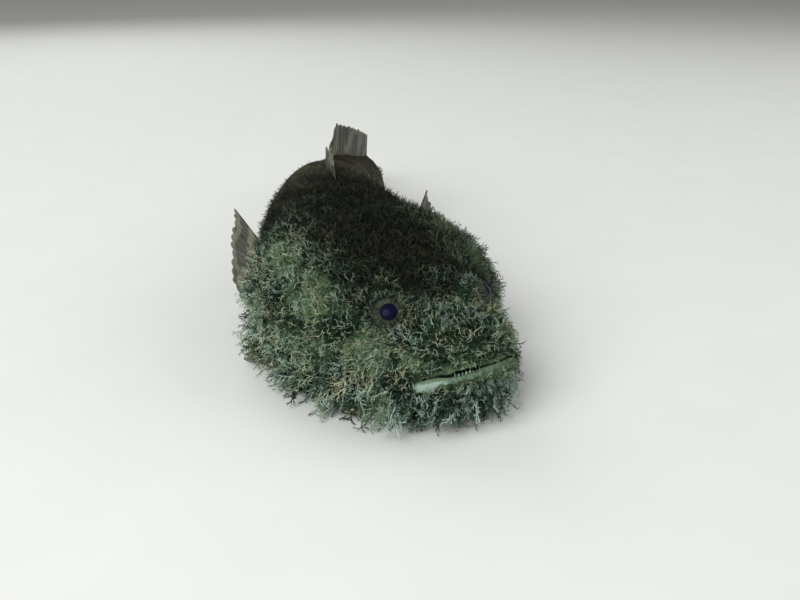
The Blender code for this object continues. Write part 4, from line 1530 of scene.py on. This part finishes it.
# For each part: where it grows, its shapes and the least distance between roots in mm
COAT_PARTS = {
    "snout": (FRONT, "short_twig", 0.50),
    "jaw": (JAW, "twig", 0.66),
    "crown": ((1 - ON_SIDE) * BETWEEN, "short_twig", 0.62),
    "cheek": (ON_SIDE * BETWEEN, "twig", 0.82),
    "nape": (fade((BACK, 83, 85), (BACK, 105, 103)), "twig", 0.93),
    "shoulder": (fade((BACK, 103, 105)), "short_twig", 0.85),
}
# The most roots in a square metre, tangle and lift
HEAD_GROWTH = (5.0e6, 1.4, 1.0)
BEARD_GROWTH = (1.0e6, 0.35, 0.25)
LATERAL_GROWTH = (3.0e6, 0.5, 1.3)
FRINGE_GROWTH = (14.0e6, 1.9, 0.9)
for number, (part, (mask, kind, nearest)) in enumerate(COAT_PARTS.items()):
    seeds = (100 * number + 7, 100 * number + 57)
    grow(f"cirri_{part}", THICKNESS * mask, kind, nearest, *HEAD_GROWTH, seeds, "head")


# %% Grow the beard
def row(start, end, across, steps):
    """1 along a row on the side view from start to end, each (distance from the nose, height), in mm."""
    places = np.linspace(start, end, steps)
    return np.max([hump(BACK, back, 5) * hump(HEIGHT, height, across) for back, height in places], axis=0)


def rows(table):
    return sum(row(*values) for values in table.values()).clip(0, 1)


# For each row: its first and last place, how wide it is in mm, and of how many spots it is made
BEARD_ROWS = {
    "chin": ((0, 13), (30, 6), 3.5, 12),
    "under the chin": ((6, 9), (34, 3), 2.5, 12),
    "cheek": ((30, 8), (66, 7), 3.5, 12),
    "mouth corner": ((17, 18), (34, 13), 2.5, 6),
    "gill cover": ((68, 8), (96, 24), 4.0, 12),
    "gill cover edge": ((92, 22), (97, 38), 4.0, 6),
}
BEARD = rows(BEARD_ROWS) * CLEAR_OF_SEAM * (1 - LOWER_LIP) * OUTER * fade((HEIGHT, 1.0, 2.5), (BACK, 99, 97))
BEARD_LENGTHS = {
    "everywhere": (11.0,),
    "low cheek": (2.5, (BACK, 26, 38), (BACK, 74, 60)),
    "gill cover": (2, (BACK, 66, 84)),
    "high on the gill cover": (-6, (BACK, 66, 84), (HEIGHT, 14, 22)),
}
HIGH_UP = fade((HEIGHT, 10, 16), (BACK, 80, 60))
ON_CHEEK = fade((BACK, 26, 40))
OUTWARDS = (0.5 + 0.75 * ON_CHEEK + 0.35 * fade((BACK, 10, 3))) * (1 - 0.85 * HIGH_UP)
DOWNWARDS = np.array([-0.15, 0, -1]) * (1 - 0.35 * ON_CHEEK)[:, None]
BEARD_LIE = NORMALS * (1, 1, 0) * OUTWARDS[:, None] + DOWNWARDS
BEARD_LENGTH = summed(BEARD_LENGTHS) + 1.4 * clipped_waves(9, 41)
put_lie(BEARD_LENGTH * (1 - HIGH_UP * np.where(LEFT > 0, 0.75, 0.3)), BEARD_LIE)
grow("beard", BEARD, "barbel", 1.4, *BEARD_GROWTH, (910, 900), "lower_jaw")

# %% Grow the filaments along the lateral lines
LATERAL_ROWS = {
    "upper, front": ((128, 50), (190, 44), 1.3, 24),
    "upper, rear": ((190, 44), (262, 29), 1.3, 28),
    "lower, front": ((118, 15), (180, 15), 1.3, 24),
    "lower, rear": ((180, 15), (240, 17), 1.3, 24),
}
LATERAL_LENGTH = 1.9
put_lie(np.full(len(POINTS), LATERAL_LENGTH), BEARD_LIE)
grow("cirri_lateral", rows(LATERAL_ROWS), "short_twig", 1.5, *LATERAL_GROWTH, (940, 930), "trunk")

# %% Grow the fringe round each eye
FRINGE = fade((EYE_ANGLE, 55, 57), (EYE_ANGLE, 74, 66)) * (EYE_REACH < 11)
FRINGE_LENGTH = 2.0
put_lie(np.full(len(POINTS), FRINGE_LENGTH), along_skin(AWAY_FROM_EYE))
grow("eye_fringe", FRINGE, "short_twig", 0.36, *FRINGE_GROWTH, (960, 950), "head")


# %% Take away the shapes that the trees copied
def take_away(collection):
    for obj in list(collection.objects):
        bpy.data.objects.remove(obj)
    bpy.data.collections.remove(collection)


for collection in TUFTS.values():
    take_away(collection)

# %% [markdown]
# ## The teeth
# A toadfish crushes shells, so its jaws carry rows of short blunt teeth. Only a few of the lower
# row show, as pale beads in the parted front of the mouth. They repeat along a line, so a second
# tree of geometry nodes sets them: it walks along a path inside the lip at even steps and plants a
# tooth on each, pointing the way that the path says.

# %% Shape of a tooth
# Heights and widths of its rings, as shares of its length and radius
TOOTH_RINGS = ((-0.5, 0.9), (0.15, 1.0), (0.6, 0.78), (0.88, 0.42))
TOOTH_SIDES = 7
# Length and radius of each tooth in mm
TOOTH_SIZES = ((0.80, 0.40), (0.68, 0.44), (0.88, 0.36))


def blunt_tooth(name, length, radius):
    """A rounded peg along z with its root below the origin, 1 mm being one unit."""
    turns = [2 * math.pi * s / TOOTH_SIDES for s in range(TOOTH_SIDES)]
    points = [(radius * wide * math.cos(t), radius * wide * math.sin(t), length * high)
              for high, wide in TOOTH_RINGS for t in turns]
    last = len(points) - TOOTH_SIDES
    faces = tube_faces(len(TOOTH_RINGS), TOOTH_SIDES)
    faces += [[last + s, last + (s + 1) % TOOTH_SIDES, len(points)] for s in range(TOOTH_SIDES)]
    mesh = mesh_of(name, [*points, (0, 0, length)], [*faces, list(reversed(range(TOOTH_SIDES)))])
    mesh.shade_smooth()
    return bpy.data.objects.new(name, mesh)


TEETH = new_collection("tooth", [blunt_tooth(f"tooth_{k + 1}", *size) for k, size in enumerate(TOOTH_SIZES)])

# %% The tree that sets things along a path
ROW_INPUTS = {
    "Path": "Geometry",
    "Shapes": "Collection",
    "Spacing": "Float",
    "Size": "Float",
    "Tilt": "Float",
    "Seed": "Int",
    "Finish": "Material",
}
SIZE_CHANGE = (0.8, 1.2)
LAST_TOOTH_CHOICE = 8


def row_tree():
    nodes, given = start_tree("row_along_path", ROW_INPUTS)
    seed = given["Seed"]
    line = nodes.add("GeometryNodeMeshToCurve", None, {"Mesh": given["Path"]})
    places = nodes.add("GeometryNodeResampleCurve", {"mode": "LENGTH"},
                       {"Curve": line, "Length": given["Spacing"]})
    jitter = random_value(nodes, "FLOAT_VECTOR", (-1, -1, -1), (1, 1, 1), seed)
    way = vector_maths(nodes, "MULTIPLY_ADD", jitter, given["Tilt"], named(nodes, "way", "FLOAT_VECTOR"))
    size = given["Size"] * random_value(nodes, "FLOAT", *SIZE_CHANGE, seed + 1)
    rotation = turned(nodes, way, (1, 0, 0))
    real = planted(nodes, places, given["Shapes"], LAST_TOOTH_CHOICE, seed + 2, rotation, size)
    return end_tree(nodes, real, given["Finish"])


ROW_TREE = row_tree()

# %% Set the teeth
LOWER_GUM = len(UPPER_SHARES) + len(MOUTH_ROOM) - 1
GUM_RISE = 0.1 * MM
TEETH_TO_LEFT = 0.1
TEETH_TO_RIGHT = 1.5
TOOTH_TONE = screen_tone(162, 180, 166)
TOOTH_STAIN = screen_tone(122, 140, 120)
STAIN_SIZE = 0.6 * MM
STAIN_AT = (0.35, 0.7)


def tooth_finish(nodes):
    stain = nodes.rise(nodes.noise(STAIN_SIZE, 2.0), *STAIN_AT)
    return {"Base Color": nodes.blend(stain, TOOTH_TONE, TOOTH_STAIN)}


def gum_path():
    """The line along the lower jaw just inside the lip, from the middle round the front to the right."""
    line = LEFT_POINTS[:, LOWER_GUM]
    back = ROWS / MM
    left = line[back < TEETH_TO_LEFT][::-1]
    right = (line * (1, -1, 1))[(back > TEETH_TO_LEFT) & (back < TEETH_TO_RIGHT)]
    points = to_pose(np.concatenate([left, right]) + (0, 0, GUM_RISE))
    mesh = bpy.data.meshes.new("gum_lower")
    mesh.from_pydata(points.tolist(), [(k, k + 1) for k in range(len(points) - 1)], [])
    put_attribute(mesh, "way", np.tile((0.0, 0.0, 1.0), (len(points), 1)), "FLOAT_VECTOR")
    return mesh


TOOTH_FINISH = new_finish("tooth", {"Roughness": 0.35, "Coat Weight": 0.2}, tooth_finish)
ROW_VALUES = {"Shapes": TEETH, "Spacing": 1.15 * MM, "Size": MM, "Tilt": 0.12,
              "Seed": 61, "Finish": TOOTH_FINISH}
LOWER_TEETH = made_plain("teeth_lower", ROW_TREE, ROW_VALUES, gum_path())
show("teeth_lower", LOWER_TEETH, TOOTH_FINISH, "lower_jaw")
take_away(TEETH)

# %% [markdown]
# ## The fins
# A fin is a thin web of skin on a fan of soft, jointed rays. Each fin here is a grid between a root
# line, sunk into the flesh, and a rim. The grid is given a thickness that swells over every ray and
# thins between them, its rim is scalloped where the rays end, and the whole sheet is pleated and
# waved a little, because a fin of soft rays never stands flat. Front and back are one closed mesh.

# %% Root and rim of the fins along the middle
# Each function turns shares of the way along a fin into points of its root and of its rim. The
# numbers are in mm on the straight fish.
def points_at(back, side, height):
    return np.stack(np.broadcast_arrays(-back, side, height), axis=-1) * MM


def on_middle(back, height, on_top):
    """Points this far over the back or under the belly."""
    _, top, _, bottom, *_ = section_at(np.minimum(back * MM, BODY_LENGTH))
    return points_at(back, 0, (top if on_top else bottom) / MM + height)


def spiny_dorsal(share):
    back = 107 + 21 * share
    return on_middle(back, -3, True), on_middle(back + 6 + 4 * share, 10.5 - 5 * share**1.5, True)


def soft_dorsal(share):
    back = 136 + 148 * share
    rise = (16 - 4.5 * share) * (0.25 + 0.75 * between(0, 0.16, share))
    return on_middle(back, -2.5, True), on_middle(back + 9, rise, True)


def anal(share):
    back = 176 + 104 * share
    rim = on_middle(back + 7, -10 * (0.3 + 0.7 * between(0, 0.12, share)), False)
    return on_middle(back, 2.2, False), np.maximum(rim, (-np.inf, -np.inf, 1.0 * MM))


def tail(share):
    middle = 2 * share - 1
    root = points_at(BODY_LENGTH / MM - 3, 0, 22.6 + 8.5 * middle)
    fan = math.radians(27) * middle
    reach = (TAIL_FIN_LENGTH / MM + 3) * (1 - 0.16 * np.abs(middle) ** 2.5)
    return root, root + points_at(np.cos(fan) * reach, 0, 0.62 * np.sin(fan) * reach)


print("the tail fin ends", round(-tail(np.array([0.5]))[1][0, 0] / MM), "mm from the nose")


# %% Root and rim of the paired fins, and all fins
def pectoral(side, splay):
    def lines(share):
        root = points_at(103 + 4 * share, side * (29 - 1.5 * share), 34 - 24 * share)
        fan = np.radians(22 - 62 * share)
        reach = 43 - 26 * np.abs(share - 0.45) ** 1.5
        out = np.cos(fan) * reach
        rim = root + points_at(out * math.cos(splay), side * out * math.sin(splay), np.sin(fan) * reach)
        return root, np.maximum(rim, (-np.inf, -np.inf, 1.4 * MM))
    return lines


def pelvic(side):
    def lines(share):
        root = points_at(70 + 10 * share, side * (32 + share), 3.2)
        return root, points_at(88 + 12 * share, side * (50 - 6 * share), 1.7)
    return lines


# For each fin: its lines, rays, thickness of a ray in mm, notch between rays, waviness in mm, whether
# its bars slant along the fish, and where it bends
FINS = {
    "spiny_dorsal_fin": (spiny_dorsal, 3, 1.5, 0.38, 0.3, 1, None),
    "soft_dorsal_fin": (soft_dorsal, 30, 0.9, 0.05, 1.3, 1, None),
    "anal_fin": (anal, 24, 0.9, 0.08, 0.8, 1, None),
    "tail_fin": (tail, 14, 1.1, 0.03, 1.4, 0, None),
    "pectoral_fin_left": (pectoral(1, math.radians(40)), 17, 1.1, 0.04, 1.2, 0, 105 * MM),
    "pectoral_fin_right": (pectoral(-1, math.radians(12)), 17, 1.1, 0.04, 1.2, 0, 105 * MM),
    "pelvic_fin_left": (pelvic(1), 3, 2.2, 0.22, 0.3, 0, 75 * MM),
    "pelvic_fin_right": (pelvic(-1), 3, 2.2, 0.22, 0.3, 0, 75 * MM),
}
print(len(FINS), "fins with", sum(f[1] for f in FINS.values()), "rays")

# %% One fin
RAY_OFFSETS = np.array([-0.5, -0.30, -0.17, -0.06, 0.06, 0.17, 0.30])
EDGE_RAY = 0.31
FIN_ROWS = 26
WEB_THICKNESS = 0.30 * MM
ROOT_THICKENING = 0.9 * MM
SHEATH = 0.16
PLEATS = 0.22
# For each wave along a fin: how high, how fast it repeats and how it shifts from fin to fin
FIN_WAVES = ((0.6, 0.55, 1), (0.4, 1.3, 2))
RAY_TAPER = 0.72
RAY_FORK = 0.15
FORK_SPAN = (0.45, 1.0)
RAY_WIDTH = 0.17
RAY_SPREAD = 0.03
RAY_UNEVENNESS = (-0.016, 0.010)
NOTCH_POWER = 1.6
ROW_CROWDING = 0.85
RAY_JOINT = 0.04 * MM
JOINT_RATE = 90


def fin_columns(rays):
    """Where the columns of a fin are, counted in rays, closest together at each ray."""
    places = (np.arange(rays)[:, None] + RAY_OFFSETS).ravel()
    return np.append(places[places >= -EDGE_RAY], rays - 1 + EDGE_RAY)


def ray_ridge(offset, reach):
    """1 on a ray and 0 on the web. A ray forks in its outer half."""
    fork = RAY_FORK * between(*FORK_SPAN, reach)
    width = RAY_WIDTH + RAY_SPREAD * reach
    ridges = [np.clip(1 - ((offset - part * fork) / width) ** 2, 0, 1) for part in (-1, 1)]
    return np.sqrt(np.maximum(*ridges))


def make_fin(name, lines, rays, thickness, notch, waviness, slant, bend_at, seed):
    places = fin_columns(rays)
    root, rim = lines(np.clip((places + EDGE_RAY) / (rays - 1 + 2 * EDGE_RAY), 0, 1))
    offset = places - np.round(places)
    uneven = np.random.default_rng(seed).uniform(*RAY_UNEVENNESS, rays)
    end = 1 - notch * (2 * np.abs(offset)) ** NOTCH_POWER + np.interp(places, np.arange(rays), uneven)
    along = np.linspace(0, 1, FIN_ROWS)[:, None] ** ROW_CROWDING * end
    middle = root + (rim - root) * along[..., None]
    normal = np.cross(np.gradient(middle, axis=1), np.gradient(middle, axis=0))
    normal /= np.linalg.norm(normal, axis=-1, keepdims=True)
    waving = sum(high * np.sin(places * rate + turn * seed) for high, rate, turn in FIN_WAVES)
    sway = waviness * along**1.5 * waving + PLEATS * along * np.cos(math.pi * places)
    middle = middle + normal * (sway * MM)[..., None]
    ridge = ray_ridge(offset, along)
    half = WEB_THICKNESS / 2 + (thickness * MM / 2) * ridge * (1 - RAY_TAPER * along)
    half = half + ROOT_THICKENING * between(SHEATH, 0, along) ** 2
    half[-1] *= 0.5
    half = (half + RAY_JOINT * ridge * np.sin(along * JOINT_RATE))[..., None]
    rings = np.concatenate([middle + normal * half, (middle - normal * half)[:, ::-1]], axis=1)
    rings[..., 2] = np.maximum(rings[..., 2], FLOOR_CLEARANCE)
    count = rings.shape[1]
    faces = tube_faces(FIN_ROWS, count)
    for start in (0, (FIN_ROWS - 1) * count):
        faces += [[start + k, start + k + 1, start + count - 2 - k, start + count - 1 - k]
                  for k in range(len(places) - 1)]
    mesh = mesh_of(name, to_pose(rings.reshape(-1, 3), bend_at), faces)
    measures = {"ray": ridge, "reach": along, "across": places + 0 * along, "slant": slant + 0 * along}
    for word, values in measures.items():
        put_attribute(mesh, word, np.concatenate([values, values[:, ::-1]], axis=1))
    return reworked(mesh, turn_out)


print("columns of points in the tail fin:", len(fin_columns(FINS["tail_fin"][1])))

# %% Finish of the fins
BAR_WANDER = 9 * MM
FIN_MOTTLING = 2.2 * MM
FIN_GRAIN = 0.7 * MM
BARS_ACROSS_RAYS = 18.0
SLANTING_BARS = (4.5, 1.25)
RAY_JOINTS = 150.0
MOTTLING_AT = (0.35, 0.65)
BARS_AT = (0.0, 0.7)
BROWN_AREAS_AT = (0.5, 0.65)
RIM_AT = (0.9, 0.99)


def fin_finish(nodes):
    """Dark bars that wander: across the rays, or slanting along the fish on the long fins."""
    dark_tone, middle_tone, pale_tone, brown_tone = TONES["fins"]
    ray, reach, across, slant = (nodes.attribute(name) for name in ("ray", "reach", "across", "slant"))
    wander = nodes.noise(BAR_WANDER, 3.0, 0.6)
    small = nodes.noise(FIN_MOTTLING, 3.0)
    upright = BARS_ACROSS_RAYS * reach + 1.2 * (0.9 * across).sine()
    slanting = SLANTING_BARS[0] * reach - SLANTING_BARS[1] * across
    bars = (upright * (1 - slant) + slanting * slant + 9.0 * wander).sine()
    colour = nodes.blend(nodes.rise(small, *MOTTLING_AT), dark_tone, middle_tone)
    colour = nodes.blend(0.8 * nodes.rise(bars + 1.2 * small - 0.6, *BARS_AT), colour, pale_tone)
    colour = nodes.blend(0.45 * nodes.rise(wander, *BROWN_AREAS_AT), colour, brown_tone)
    colour = nodes.blend(0.35 * ray, colour, middle_tone)
    relief = 0.12 * (ray * (RAY_JOINTS * reach).sine()) + 0.8 * nodes.noise(FIN_GRAIN, 3.0)
    return {
        "Base Color": nodes.blend(0.6 * nodes.rise(reach, *RIM_AT), colour, pale_tone),
        "Roughness": 0.40 + 0.25 * small,
        "Normal": bump(nodes, 0.5, 0.3 * MM, relief),
    }


FIN_FINISH = new_finish("fin", {"Specular IOR Level": 0.45}, fin_finish)
for number, (name, values) in enumerate(FINS.items()):
    show(name + "_skin", make_fin(name + "_skin", *values, seed=number + 1), FIN_FINISH, "fins", name)

# %% [markdown]
# ## Floor and light
# The part stands on a plain pale floor under soft studio light. The main lamp shines from the upper
# left of the camera, a weaker one fills the shade from the upper right, and a third lights the back
# and the tail from behind. All are large, so the shadows are soft, and a pale sky fills the rest.

# %% Floor
FLOOR_HALF = 3.0
FLOOR_TONES = (screen_tone(214, 216, 213), screen_tone(220, 222, 219))
FLOOR_MOTTLING = 40 * MM


def floor_finish(nodes):
    return {"Base Color": nodes.blend(nodes.noise(FLOOR_MOTTLING, 3.0), *FLOOR_TONES)}


def make_floor():
    corners = [(x * FLOOR_HALF, y * FLOOR_HALF, 0) for x, y in ((-1, -1), (1, -1), (1, 1), (-1, 1))]
    mesh = mesh_of("floor", corners, [(0, 1, 2, 3)])
    mesh.materials.append(new_finish("floor", {"Roughness": 0.8}, floor_finish))
    floor = bpy.data.objects.new("floor", mesh)
    SCENE.collection.objects.link(floor)


make_floor()

# %% Lights
FISH_MIDDLE = Vector((60, -10, 30)) * MM
# For each lamp: where it stands and how wide it is, in metres, and its power in watts
LAMPS = {
    "key": ((0.50, -1.00, 0.85), 1.2, 20.0),
    "fill": ((0.50, 1.10, 0.80), 1.4, 8.0),
    "back": ((-1.10, 0.0, 0.90), 1.2, 7.0),
}
WORLD_TONE = (0.92, 0.92, 0.9, 1)
WORLD_STRENGTH = 0.30


def soft_lamp(name, place, size, power):
    data = bpy.data.lights.new(name, "AREA")
    data.shape = "DISK"
    data.size = size
    data.energy = power
    lamp = bpy.data.objects.new(name, data)
    SCENE.collection.objects.link(lamp)
    lamp.location = Vector(place)
    lamp.rotation_euler = (FISH_MIDDLE - lamp.location).to_track_quat("-Z", "Y").to_euler()


def soft_sky():
    world = bpy.data.worlds.new("studio")
    world.use_nodes = True
    background = world.node_tree.nodes["Background"]
    background.inputs["Color"].default_value = WORLD_TONE
    background.inputs["Strength"].default_value = WORLD_STRENGTH
    SCENE.world = world


for name, values in LAMPS.items():
    soft_lamp(name, *values)
soft_sky()
SCENE.view_settings.view_transform = "Standard"
